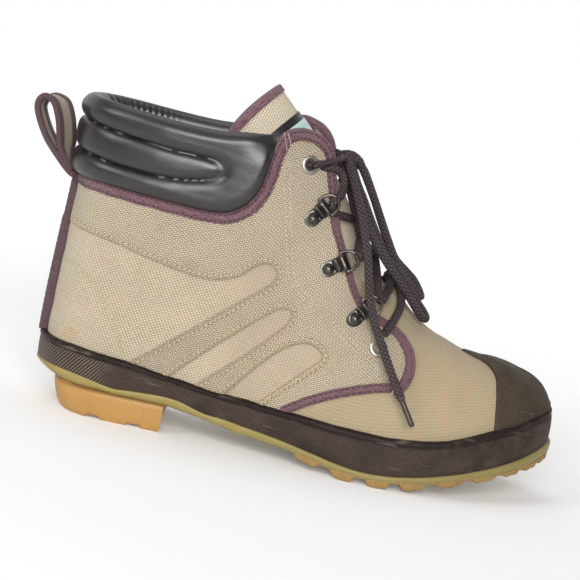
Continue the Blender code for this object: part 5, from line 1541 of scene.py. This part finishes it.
def edge_dip(x):
    """How far hand-wrapping raised or lowered the foxing's lower edge along the boot, in mm: two
    bells and a wave under the arch."""
    return (1.3 * np.exp(-((x - 27) / 13) ** 2) - 0.9 * np.exp(-((x - 2) / 12) ** 2)
            + 0.5 * np.sin(x * 0.2) * arch_share(x))


LOWEST_DIP = -1.0
columns, rows = 640, 30
s = np.linspace(0, 2 * TOE_ROW, columns, endpoint=False)[:, None]
bare = last_point(s[:, 0], np.full(columns, 0.1))
edge_wave = (0.26 * np.sin(bare[:, 0] * 0.085 + 1.0) + 0.12 * np.sin(bare[:, 0] * 0.19)
             + 0.05 * np.sin(bare[:, 0] * 0.61 + bare[:, 1]))
top = height_share(s[:, 0], FOXING_TOP, rise=edge_wave)[:, None]
share = np.linspace(0, 1, rows) ** 0.9
v = top * share
x = bare[:, :1]
waves = 0.55 * np.sin(x * 0.26 + 3.0 * share) + 0.35 * np.sin(x * 0.55 + 1.0 - 2.0 * share)
waves = arch_share(x) * waves * np.sin(math.pi * share)
bead = np.exp(-((share - 0.90) / 0.055) ** 2)
groove = np.exp(-((share - 0.80) / 0.03) ** 2)
toe_line = np.exp(-((share - 0.72) / 0.025) ** 2) * ease(x, 92, 104) * (1 - ease(x, 152, 166))
at_heel = 1 - ease(x, -30, 20)
thick = 2.55 + 0.3 * np.sin(math.pi * np.clip(share / 0.8, 0, 1)) ** 0.5 + (0.35 + 0.35 * at_heel) * bead
thick = thick - 0.3 * groove + 0.22 * toe_line + waves
thick = thick * (1 - 0.72 * ease(share, 0.93, 1.0) ** 2)
outer = last_offset(s, v, 0.3 + thick)
inner = last_offset(s, v, -0.9)
dip = edge_dip(bare[:, 0])
foot = last_point(s[:, 0], 0 * s[:, 0])[:, 2]
outer[..., 2] += np.exp(-share / 0.12) * dip[:, None]
inner[:, 0, 2] = foot
outer[:, 0, 2] = foot + np.maximum(dip, LOWEST_DIP)
points = np.stack([outer, inner], 0)
total = columns * rows
faces = grid_quads(columns, rows, ring=True).tolist()
faces += grid_quads(columns, rows, ring=True, first=total)[:, ::-1].tolist()
i = np.arange(columns) * rows
ahead = (np.arange(columns) + 1) % columns * rows
faces += np.stack([i, total + i, total + ahead, ahead], -1).tolist()
faces += (np.stack([i, ahead, total + ahead, total + i], -1) + rows - 1).tolist()
cloth = side_cloth(s + 0 * v, v)
height = np.broadcast_to(share, v.shape)
piece("rubber_foxing", points, faces, foxing_rubber, "dark_rubber", ["foxing"],
      np.tile(cloth.reshape(-1, 2), (2, 1)), {"height": double(height)})

# %% Toe cap
CAP_EDGE = ((219.0, 34.0), (218.2, 43.6), (217.1, 53.6), (215.7, 63.3), (214.0, 70.1), (208.4, 76.7))
CAP_BACK = 194.0
edge = place_line(CAP_EDGE, (CAP_ROW, 0.2))
ridge_s = np.linspace(8.0, 12.0, 200)
ridge_x = ridge_share(ridge_s, np.ones(200), np.zeros(200))[:, 0]
edge = np.vstack([edge, [np.interp(CAP_BACK, ridge_x, ridge_s), 1.0]])
edge = even_curve(edge, 60)


def cap_edge(v):
    """The row s of the cap's rear edge at each v: it runs back towards the ridge."""
    return np.interp(v, edge[:, 1], edge[:, 0])


MM_PER_ROW = 22.0                       # way round the toe from one row of the table to the next
columns, rows = 150, 64
s = np.linspace(CAP_ROW, medial(CAP_ROW), columns)[:, None]
low = height_share(s[:, 0], FOXING_TOP, rise=-1.5)[:, None]
share = np.linspace(0, 1, rows)
v = low + (1 - low) * share
s = s + (cap_edge(v) - CAP_ROW) * np.linspace(1, -1, columns)[:, None]
from_edge = np.minimum(s - cap_edge(v), medial(cap_edge(v)) - s) * MM_PER_ROW
rim = quarter(from_edge, 1.6)
bare = last_point(s, v)
piping = np.exp(-((bare[..., 2] - read_line(FOXING_TOP, bare[..., 0]) - 2.0) / 0.9) ** 2)
out = 0.3 + (0.75 + 1.0 * ease(from_edge, 0, 14)) * rim + 0.75 * piping * rim
out = out + 0.10 * np.sin(np.minimum(s, medial(s)) * 9) * np.sin(v * 11)
outer, inner = ridge_share(s, v, out), ridge_share(s, v, -0.6)
total = columns * rows
faces = grid_quads(columns, rows).tolist() + grid_quads(columns, rows, first=total)[:, ::-1].tolist()
i = np.arange(columns - 1) * rows
faces += np.stack([i, total + i, total + i + rows, i + rows], -1).tolist()
j = np.arange(rows - 1)
last = (columns - 1) * rows + j
faces += np.stack([j, j + 1, total + j + 1, total + j], -1).tolist()
faces += np.stack([last, total + last, total + last + 1, last + 1], -1).tolist()
cloth = vamp_cloth(s, v).reshape(-1, 2)
cap = piece("rubber_toe_cap", np.concatenate([outer.reshape(-1, 3), inner.reshape(-1, 3)]), faces, cap_rubber,
            "dark_rubber", ["toe_cap"], np.tile(cloth, (2, 1)))


def welded(made, distance):
    """Merges points closer than distance in mm, so that a folded grid closes along its ridge."""
    outward(made.data, distance)
    print(made.name, "has", len(made.data.edges), "edges after welding")


welded(cap, 0.005)
welded(upper, 0.02)

# %% [markdown]
# ## Gum sole and heel
# The sole is moulded gum rubber: a thin plate whose rim shows under the foxing, a row of
# scalloped lugs round the forefoot, bars across its middle, and a separate heel block. The rim
# and the lugs are profiles carried round the feather edge; the lugs' lower edge rises and
# falls with a smooth pulse for each lug, which gives the soft scallops of a worn mould.

# %% Gum finish
def gum(name, deep, pale, speck_and_shade, joint=0.0, fore=0.0):
    """Translucent gum with clouds and dirt; joint is the height in m above which the dirt of a
    seam gathers, and fore how strongly painted shade darkens the front of the sole."""
    look = Finish(name, 0.48, Subsurface_Weight=0.12, Subsurface_Scale=0.004, Specular_IOR_Level=0.35)
    place = look.place()
    clouds = look.noise(place, 60.0, 4.0, 0.6)
    streaks = look.noise(place, 30.0, 3.0, 0.6, stretch=(1.0, 1.0, 5.0))
    base = look.mix(clouds * 0.6 + streaks * 0.4, deep, pale)
    grime_and_fold_shade = look.noise(place, 420.0, 3.0, 0.7).between(0.56, 0.72)
    base = look.mix(grime_and_fold_shade * 0.45, base, speck_and_shade)
    x, y, z = look.split(place)
    if fore:
        # painted shade: the sole is painted darker towards the front, from x = 40 mm to 130 mm.
        base = look.mix(x.between(0.04, 0.13) * fore, base, speck_and_shade)
    if joint:
        base = look.mix(z.between(joint - 0.0012, joint + 0.0002) * 0.75, base, speck_and_shade)
    look.paint(base, clouds * 0.3 + 0.36)
    look.relief(look.noise(place, 500.0, 3.0), 0.12, 0.5)
    return look.material


rim_gum = gum("gum_rim", (0.195, 0.15, 0.044), (0.365, 0.29, 0.095), (0.13, 0.105, 0.05), fore=0.3)
heel_gum = gum("gum_heel", (0.335, 0.172, 0.043), (0.475, 0.272, 0.083), (0.20, 0.095, 0.026), 0.0158)
lug_gum = gum("gum_lugs", (0.20, 0.11, 0.032), (0.38, 0.245, 0.083), (0.12, 0.075, 0.03))

# %% Sole lines
PLATE_UNDER = (
    (-50.0, 22.6), (-35.0, 19.0), (-20.0, 16.2), (34.0, 16.2), (45.0, 15.3), (60.0, 13.2),
    (75.0, 10.8), (90.0, 10.0), (105.0, 9.0), (116.0, 7.0), (130.0, 4.4), (143.0, 3.2), (157.0, 3.2),
    (170.0, 4.2), (185.0, 6.4), (200.0, 9.8), (215.0, 13.4), (230.0, 17.3), (243.0, 21.0),
    (252.0, 25.5), (258.0, 29.5),
)
TREAD = (
    (110.0, 6.0), (126.0, 2.6), (137.0, 0.0), (166.0, 0.0), (176.0, 1.8), (188.0, 4.6), (202.0, 8.0),
    (214.0, 11.4), (229.0, 15.4), (242.0, 18.8), (251.0, 22.6), (258.0, 26.5),
)
BREAST_HOLLOW, HEEL_SQUARE = 1.0, 0.75
SIDE_LUGS, LUG_SHARE = 9, 0.74
BAR_STARTS = (121.0, 138.0, 155.0, 172.0, 189.0, 206.0)


def ring_bands(rings):
    """A solid from rings of equally many points that start at the heel and go round; the first
    and last rings are filled by strips from side to side."""
    count = len(rings[0])
    faces = grid_quads(len(rings), count, loop=True).tolist()
    i = np.arange(count // 2)
    strips = np.stack([i, i + 1, (count - i - 1) % count, (count - i) % count], -1)
    for first, flip in ((0, False), ((len(rings) - 1) * count, True)):
        for strip_face in strips:
            face = tuple(dict.fromkeys(int(k) + first for k in strip_face))
            faces.append(face[::-1] if flip else face)
    return np.concatenate(rings), faces


def sole_ring(rows, out, height):
    """Feather outline pushed out by out, at the height that height(x, feather height) gives."""
    ring = feather_outline(rows, out)
    ring[:, 2] = height(ring[:, 0], ring[:, 2])
    return ring


def rows_round(count):
    """Row places all round the boot: count on the lateral side, then back along the medial."""
    lateral = np.linspace(0, TOE_ROW, count)
    return np.concatenate([lateral, medial(lateral[-2:0:-1])])


# %% Outsole plate with its rim
rows = rows_round(240)
plan = feather_outline(rows)
rim_out = (3.3 + 1.4 * ease(plan[:, 0], 40, 130) + 0.25 * np.sin(plan[:, 0] * 0.35))[:, None]
heel_in = 3.5 * (1 - ease(plan[:, 0], 28, 50))[:, None]
under_z = lambda x: read_line(PLATE_UNDER, x)


def level(share, lift=0.0):
    """Heights at a share of the way from the foxing's edge, lifted by lift, to the underside."""
    def height(x, z):
        edge_z = z + np.maximum(edge_dip(x), LOWEST_DIP) + lift
        return edge_z - share * (edge_z - under_z(x))
    return height


RIM = ((-1.2, 0, 0, 0.1), (-0.35, 0, 0, -0.1), (0, 0, 0.12, 0), (0.05, 0, 0.35, 0), (-0.1, -0.2, 0.62, 0),
       (-0.7, -0.55, 0.86, 0), (-2.0, -0.75, 1.0, 0))    # out, further out at the heel, share, lift
rings = [sole_ring(rows, -4.0, lambda x, z: z - 0.3)]
rings += [sole_ring(rows, rim_out + out + inset * heel_in, level(share, lift)) for out, inset, share, lift in RIM]
rings.append(sole_ring(rows, -3.5 - heel_in, level(1.0)))
points, faces = ring_bands(rings)
piece("gum_sole", points, [face[::-1] for face in faces], rim_gum, "gum_rubber", ["outsole"], sharp=60)

# %% Scalloped lugs and middle bars
FIRST_ROW, FIRST_LUG, LAST_LUG = 6.62, 6.75, 13.74    # row places where the band and its lugs begin and end
s = np.linspace(FIRST_ROW, medial(FIRST_ROW), 760)
near = TOE_ROW - np.abs(TOE_ROW - s)
phase = (near - FIRST_LUG) / (7.0 / SIDE_LUGS)
part_of = np.where(near < LAST_LUG, phase - np.floor(phase), 0.0)
pulse = ease(part_of, 0.0, 0.13) * (1 - ease(part_of, LUG_SHARE - 0.16, LUG_SHARE + 0.03)) * (phase > 0)
pulse = pulse * np.where(near > LAST_LUG, 0, 1)
uneven = 1 + 0.10 * np.sin(s * 17.0) + 0.06 * np.sin(s * 41.0)
levels = []
for out, kind in ((4.35, "root"), (4.3, "wall"), (3.5, "tread"), (-8.0, "tread"), (-9.8, "wall"), (-10.4, "root")):
    ring = feather_outline(s, out + 0.25 * np.sin(s * 23.0)[:, None] * (out > 0))
    high, low = under_z(ring[:, 0]), read_line(TREAD, ring[:, 0])
    lowest = high + 0.3 + pulse * uneven.clip(0.9, 1.0) * (low - high - 0.3)
    ring[:, 2] = {"root": high + 1.6, "wall": lowest + 0.9, "tread": lowest}[kind]
    levels.append(ring)
points, corners = np.stack(levels, 1), len(levels)
faces = grid_quads(len(s), corners, loop=True).tolist()
faces += [range(corners)[::-1], range((len(s) - 1) * corners, len(s) * corners)]
BOX_FACES = ((0, 1, 2, 3), (7, 6, 5, 4), (0, 4, 5, 1), (1, 5, 6, 2), (2, 6, 7, 3), (3, 7, 4, 0))
piece("gum_lugs", points, faces, lug_gum, "gum_rubber", sharp=50)
BAR_WIDTH, BAR_SIDES, BAR_SUNK, BAR_TAPER = 9, (-17, 21), 1.5, 0.8
bars = []
for start in BAR_STARTS:
    corners = []
    for top, taper in ((True, 0.0), (False, BAR_TAPER)):
        back_x, front_x = start + taper, start + BAR_WIDTH - taper
        right_y, left_y = BAR_SIDES[0] + taper, BAR_SIDES[1] - taper
        for x, y in ((back_x, right_y), (front_x, right_y), (front_x, left_y), (back_x, left_y)):
            corners.append((x, y, float(under_z(x)) + BAR_SUNK if top else float(read_line(TREAD, x))))
    bars.append((np.array(corners), [face[::-1] for face in BOX_FACES]))
bars = piece("sole_bars", *together(*bars), lug_gum, "gum_rubber")
soften = bars.modifiers.new("rounded_edges", "BEVEL")
soften.width, soften.segments = 0.0007, 2


# %% Heel block
def heel_outline(back, half, front, low):
    """The heel in plan: a squared quarter ellipse behind x = 0, straight sides to the breast,
    and a breast that is hollowed by a millimetre. low is its height at each x."""
    turn = np.linspace(0, math.pi / 2, 44)
    x, y = back * np.cos(turn) ** HEEL_SQUARE, half * np.sin(turn) ** HEEL_SQUARE
    side_x = np.linspace(0, front, 48)[1:]
    across = np.linspace(1, 0, 12)[1:]
    x = np.concatenate([x, side_x, front - BREAST_HOLLOW * (1 - across ** 2)])
    y = np.concatenate([y, np.full(47, half), half * across])
    ring = np.stack([x, -y, low(x)], 1)
    return np.concatenate([ring, ring[-2:0:-1] * (1, -1, 1)])


notch = lambda x: sum(ease(x, a, a + 1.6) * (1 - ease(x, b - 1.6, b)) for a, b in ((-12.0, -2.5), (11.5, 21.5)))
heel_top = lambda x: under_z(x) + 0.4
levels = [(-35.0, 32.0, heel_top), (-35.6, 33.1, lambda x: heel_top(x) - 1.2), (-35.0, 33.1, lambda x: 12.5 + 0 * x),
          (-33.6, 32.8, lambda x: 8.0 + 0 * x), (-32.2, 32.4, lambda x: 4.5 + 0.8 * notch(x)),
          (-31.0, 32.0, lambda x: 2.4 + 1.2 * notch(x)), (-29.6, 31.5, lambda x: 0.9 + 1.5 * notch(x)),
          (-27.8, 30.8, lambda x: 1.6 * notch(x)), (-20.0, 26.0, lambda x: 1.6 * notch(x))]
fronts = (31.2, 31.5, 31.5, 31.5, 31.5, 31.5, 31.2, 30.4, 25.0)
rings = [heel_outline(back, half, front, low) for (back, half, low), front in zip(levels, fronts)]
points, faces = ring_bands(rings)
piece("gum_heel", points, [face[::-1] for face in faces], heel_gum, "gum_rubber", ["heel"], sharp=50)

# %% Insole
rows = rows_round(120)
rings = [sole_ring(rows, -3.5, lambda x, z: z), sole_ring(rows, -3.3, lambda x, z: z + 3.2),
         sole_ring(rows, -4.4, lambda x, z: z + 4.2), sole_ring(rows, -10.0, lambda x, z: z + 4.0)]
points, faces = ring_bands(rings)
piece("lining_insole", points, faces, lining_finish.material, "lining", ["insole"])

# %% [markdown]
# ## Eyelets, clips and D rings
# Each side has an eyelet at the top and the bottom of the facing and three D rings between
# them. A ring hangs in a stamped strap that is folded round its straight bar and held by one
# domed rivet. Turned parts are profiles spun round the canvas's own normal; the strap is its
# side outline carried across its width, with its rivet end drawn in to a half circle.

# %% Metal finish
metal = Finish("gunmetal", 0.3, 1.0)
place = metal.place()
wear = metal.noise(place, 700.0, 4.0, 0.65)
cloud = metal.noise(place, 160.0, 2.0)
metal.paint(metal.mix(wear * 0.25 + cloud * 0.75, (0.055, 0.050, 0.044), (0.17, 0.16, 0.148)), wear * 0.12 + 0.24)
metal.relief(wear, 0.01, 0.3)
bright_metal = Finish("worn_metal", 0.24, 1.0)
wear = bright_metal.noise(bright_metal.place(), 600.0, 3.0)
bright_metal.paint(bright_metal.mix(wear, (0.28, 0.265, 0.23), (0.56, 0.54, 0.49)), wear * 0.16 + 0.38)

# %% Fastening places
EYELETS = {"top": (84.4, 167.8), "bottom": (143.3, 75.5)}
CLIPS = {"1": ((91.6, 138.6), (99.5, 149.0)), "2": ((106.2, 113.0), (117.3, 120.3)),
         "3": ((126.3, 88.6), (135.4, 98.4))}
BAR_AHEAD, BAR_HIGH, RING_HALF, RING_REACH, RING_LIFT = 9.6, 2.75, 5.7, 8.2, math.radians(16)


def surface_frame(x, z, side):
    """A point of the last and its outward normal at a side-view place on one side."""
    guess = (6.0, 0.6) if x < 130 else (8.2, 0.5)
    s, v = find_place(x, z, np.array([guess[0]]), np.array([guess[1]]))
    s = on_side(s, side)
    return last_point(s, v), last_normal(s, v)


def clip_frame(rivet, ring, side):
    """Rivet point, normal, direction towards the ring and the direction across."""
    point, normal = surface_frame(*rivet, side)
    ahead = surface_frame(*ring, side)[0] - point
    ahead = unit(ahead - normal * (ahead @ normal))
    return point, normal, ahead, np.cross(normal, ahead)


def ring_wire(frame, steps=40):
    """The D ring: a half ellipse that leans off the surface, closed by a straight bar."""
    point, normal, ahead, across = frame
    lean = math.cos(RING_LIFT) * ahead + math.sin(RING_LIFT) * normal
    middle = point + BAR_AHEAD * ahead + BAR_HIGH * normal
    turn = np.linspace(0, math.pi, steps)[:, None]
    bow = middle + RING_HALF * np.cos(turn) * across + RING_REACH * np.sin(turn) ** 0.8 * lean
    straight = middle + np.linspace(-0.9, 0.9, 9)[:, None] * RING_HALF * across
    return np.concatenate([bow, straight])


def strap_solid(frame):
    """The strap's side outline (along, height) carried across, with softened edges."""
    point, normal, ahead, across = frame
    turn = np.radians(np.linspace(150, -120, 22))
    along_top = np.linspace(-4.6, 6.4, 34)
    ridges = 0.42 * np.sin((along_top - 3.2) * 3.4) * ease(along_top, 3.2, 3.8)
    top = np.stack([along_top, 1.5 + ridges + 0.9 * ease(along_top, 4.5, 7.4)], -1)
    roll = np.stack([BAR_AHEAD + 2.15 * np.cos(turn), BAR_HIGH + 2.15 * np.sin(turn)], -1)
    roll += 0.2 * np.sin(np.linspace(0, 16, 22))[:, None] * np.stack([np.cos(turn), np.sin(turn)], -1)
    under = np.stack([np.linspace(7.4, -4.6, 24), np.full(24, 0.25)], -1)
    outline = np.concatenate([top, roll, under])
    a = np.concatenate([[-1, -0.97, -0.9], np.linspace(-0.75, 0.75, 9), [0.9, 0.97, 1]])
    drawn = np.sqrt(1 - np.minimum(np.abs(a), 0.995) ** 2)
    along = np.where(outline[None, :, 0] < 0, outline[None, :, 0] * drawn[:, None], outline[None, :, 0])
    half = 4.15 + 0.05 * np.clip(along, 0, 10) - 0.5 * ease(along, 1.0, 3.5) * (1 - ease(along, 4.0, 7.0))
    edge = np.abs(a)[:, None] ** 10
    height = 0.9 + (outline[None, :, 1] - 0.9) * (1 - 0.35 * edge * (outline[None, :, 1] > 0.9))
    points = point + along[..., None] * ahead + height[..., None] * normal + (a[:, None] * half)[..., None] * across
    return points.reshape(-1, 3), tube_faces(len(a), len(outline))


FLANGE = ((2.5, -3.6), (2.8, -3.8), (3.0, -3.4), (3.0, 0.2), (5.3, 0.3), (5.4, 0.6), (5.3, 0.9), (4.9, 1.15),
          (4.2, 1.3), (3.6, 1.3), (3.1, 1.1), (2.7, 0.7), (2.5, 0.1))
DOME = ((0, 1.1), (3.5, 1.1), (3.6, 1.7), (3.45, 2.1), (3.0, 2.25), (2.75, 2.4), (2.65, 2.9), (2.3, 3.6),
        (1.7, 4.25), (0.9, 4.7), (0, 4.85))
WIRE_RADIUS = 0.9
for side_name, side in (("lateral", 1), ("medial", -1)):
    for name, place in EYELETS.items():
        point, normal = surface_frame(*place, side)
        points, faces = spun(FLANGE, point, normal, 40)
        piece(f"ring_{name}_{side_name}", lifted(points), faces, bright_metal.material, "gunmetal",
              [f"eyelet_{name}_{side_name}"], sharp=60)
    for name, (rivet, ring) in CLIPS.items():
        frame_here = clip_frame(rivet, ring, side)
        where = f"{name}_{side_name}"
        points, faces = strap_solid(frame_here)
        piece(f"strap_{where}", points, faces, metal.material, "gunmetal", [f"clip_{where}"], sharp=50)
        points, faces = spun(DOME, frame_here[0], frame_here[1], 32)
        piece(f"dome_{where}", points, faces, metal.material, "gunmetal", [f"rivet_{where}"], sharp=50)
        points, faces = round_tube(ring_wire(frame_here), WIRE_RADIUS, frame_here[1] + 0.01, 14, closed=True)
        piece(f"wire_{where}", points, faces, metal.material, "gunmetal", [f"d_ring_{where}"], sharp=70)

# %% [markdown]
# ## Lacing across the throat
# Below the bow the laces cross from ring to ring, go up behind the facing to the top eyelets
# and come out through them to the knot. These runs are held at every ring, so they are braided
# tubes along smooth lines through those places, and the knot is a coil wrapped round itself.

# %% Runs from ring to ring and to the knot
CRESTS = ((142.2, 111.8), (131.2, 122.8), (120.6, 138.4))
LOW_LEG = (143.6, 12.0, 110.0)


def crossing_route(side):
    """One lace zigzagging up the throat from ring to ring, starting on the given side."""
    stops = []
    for s, v in ((8.14, 0.56), (8.36, 0.67), (8.47, 0.77), (8.38, 0.85)):
        stops.append(last_offset(on_side(s, side), v, LACE_RADIUS + 1.1))
    other = -side
    for crest, clip in zip(CRESTS, ("3", "2", "1")):
        stops.append(np.array([crest[0], 0.0, crest[1]]))
        if clip == "3":
            stops.append(np.array(LOW_LEG) * (1, -other, 1))
        clip_here = clip_frame(*CLIPS[clip], other)
        lean = math.cos(RING_LIFT) * clip_here[2] + math.sin(RING_LIFT) * clip_here[1]
        tip = clip_here[0] + BAR_AHEAD * clip_here[2] + BAR_HIGH * clip_here[1] + RING_REACH * lean
        stops.append(tip + lean * (LACE_RADIUS * 0.15))
        if clip == "1":
            stops[-1:] = [np.array(p) * (1, -other, 1) for p in ((110.9, 20.0, 142.3), (105.6, 27.0, 143.5),
                                                                (101.6, 31.2, 146.4), (100.6, 31.8, 148.6))]
        other = -other
    return stops


def eyelet_route(side):
    """From the top ring up beside the facing, out through the eyelet and over to the knot."""
    point, normal = surface_frame(*EYELETS["top"], side)
    inside = ((100.6, 31.8, 148.6), (102.6, 32.0, 151.8), (104.6, 29.5, 154.2), (105.4, 25.5, 158.0),
              (104.6, 22.5, 163.0), (101.0, 22.0, 167.0), (94.0, 25.0, 168.0))
    outside = ((94.6, 27.0, 171.4), (101.0, 15.0, 173.2), (104.0, 6.0, 173.4))
    stops = [np.array(p) * (1, -side, 1) for p in inside]
    stops += [point - 6.0 * normal + (3.0, 0, -1.0), point - 2.0 * normal, point + 3.2 * normal + (0.8, 0, 0.1)]
    stops += [np.array(p) * (1, -side, 1) for p in outside]
    return lifted(np.array(stops)) if side < 0 else np.array(stops)


def braids(name, parts, node):
    """Several braided tubes as one piece."""
    points, faces = together(*[part[:2] for part in parts])
    cloth, relief = (np.concatenate([part[k] for part in parts]) for k in (2, 3))
    piece(name, points, faces, lace_finish.material, "lace", [node], cloth, {"relief": relief}, sharp=60)


runs = []
for side in (1, -1):
    for route, reference in ((crossing_route(side), (0.75, 0.05, 0.66)),
                             (eyelet_route(side), (0.9, -0.2 * side, 0.4))):
        path = even_curve(route, int(length_of(np.array(route)) / 0.5))
        way = np.linspace(0, 1, len(path))
        pinch = 0.34 * ease(way, 0.60, 0.70) * (1 - ease(way, 0.90, 1.0)) * (reference[0] > 0.8)
        runs.append(braid(path, reference, LACE_RADIUS, 18, swell=1 - pinch))
braids("lace_runs", runs, "lace_crossings")

# %% Knot
# Each strand that leaves the knot is led back over its top, and one turn is wrapped round all.
ARCHES = (
    ((96.0, 12.0, 169.5), (99.6, 6.6, 173.0), (103.6, 1.2, 175.6), (108.0, -0.6, 175.6), (111.9, -0.8, 173.3),
     (112.4, -0.8, 172.6)),
    ((100.6, 1.0, 170.4), (103.4, 3.6, 174.4), (107.6, 4.8, 174.0), (111.6, 4.9, 171.0), (112.2, 5.0, 170.4)),
    ((100.2, -4.0, 169.6), (102.2, -5.6, 173.4), (106.0, -5.8, 173.2), (108.4, -6.4, 169.5), (108.8, -7.2, 168.4)),
    ((102.0, -1.0, 168.0), (104.0, -1.2, 172.0), (107.6, -1.2, 171.4), (109.8, -1.4, 167.0), (110.4, -2.0, 166.0)),
    ((101.0, -9.0, 170.0), (102.0, -7.0, 173.6), (104.7, -7.4, 172.8), (105.3, -9.2, 171.8)),
    ((101.0, 8.0, 170.0), (102.4, 5.4, 173.6), (104.9, 5.2, 173.1), (105.4, 7.0, 172.3)),
    ((101.6, -3.0, 169.0), (103.4, -5.2, 171.6), (106.2, -7.8, 165.2), (109.0, -9.6, 158.9), (113.4, -11.4, 149.2),
     (118.2, -12.8, 139.8), (120.6, -13.4, 133.0)),
)
coils = [braid(even_curve(stops, 70), (0.3, 0.2, -0.9), LACE_RADIUS, 18) for stops in ARCHES]
wrap_axis = unit(np.array([0.75, 0.1, -0.65]))
first = unit(np.cross(wrap_axis, (0.0, 1.0, 0.0)))
second = np.cross(wrap_axis, first)
WRAP_STEPS, WRAP_TURNS, WRAP_CENTRE, WRAP_HALF = 110, 1.3, np.array([104.6, -1.2, 171.6]), 1.8
angle = np.linspace(0, 2 * math.pi * WRAP_TURNS, WRAP_STEPS)[:, None] - 0.6
path = WRAP_CENTRE + 4.0 * np.cos(angle) * first + 6.2 * np.sin(angle) * second
path += np.linspace(-WRAP_HALF, WRAP_HALF, WRAP_STEPS)[:, None] * wrap_axis
coils.append(braid(path, wrap_axis + 0.05, LACE_RADIUS, 18))
braids("bow_knot", coils, "lace_knot")
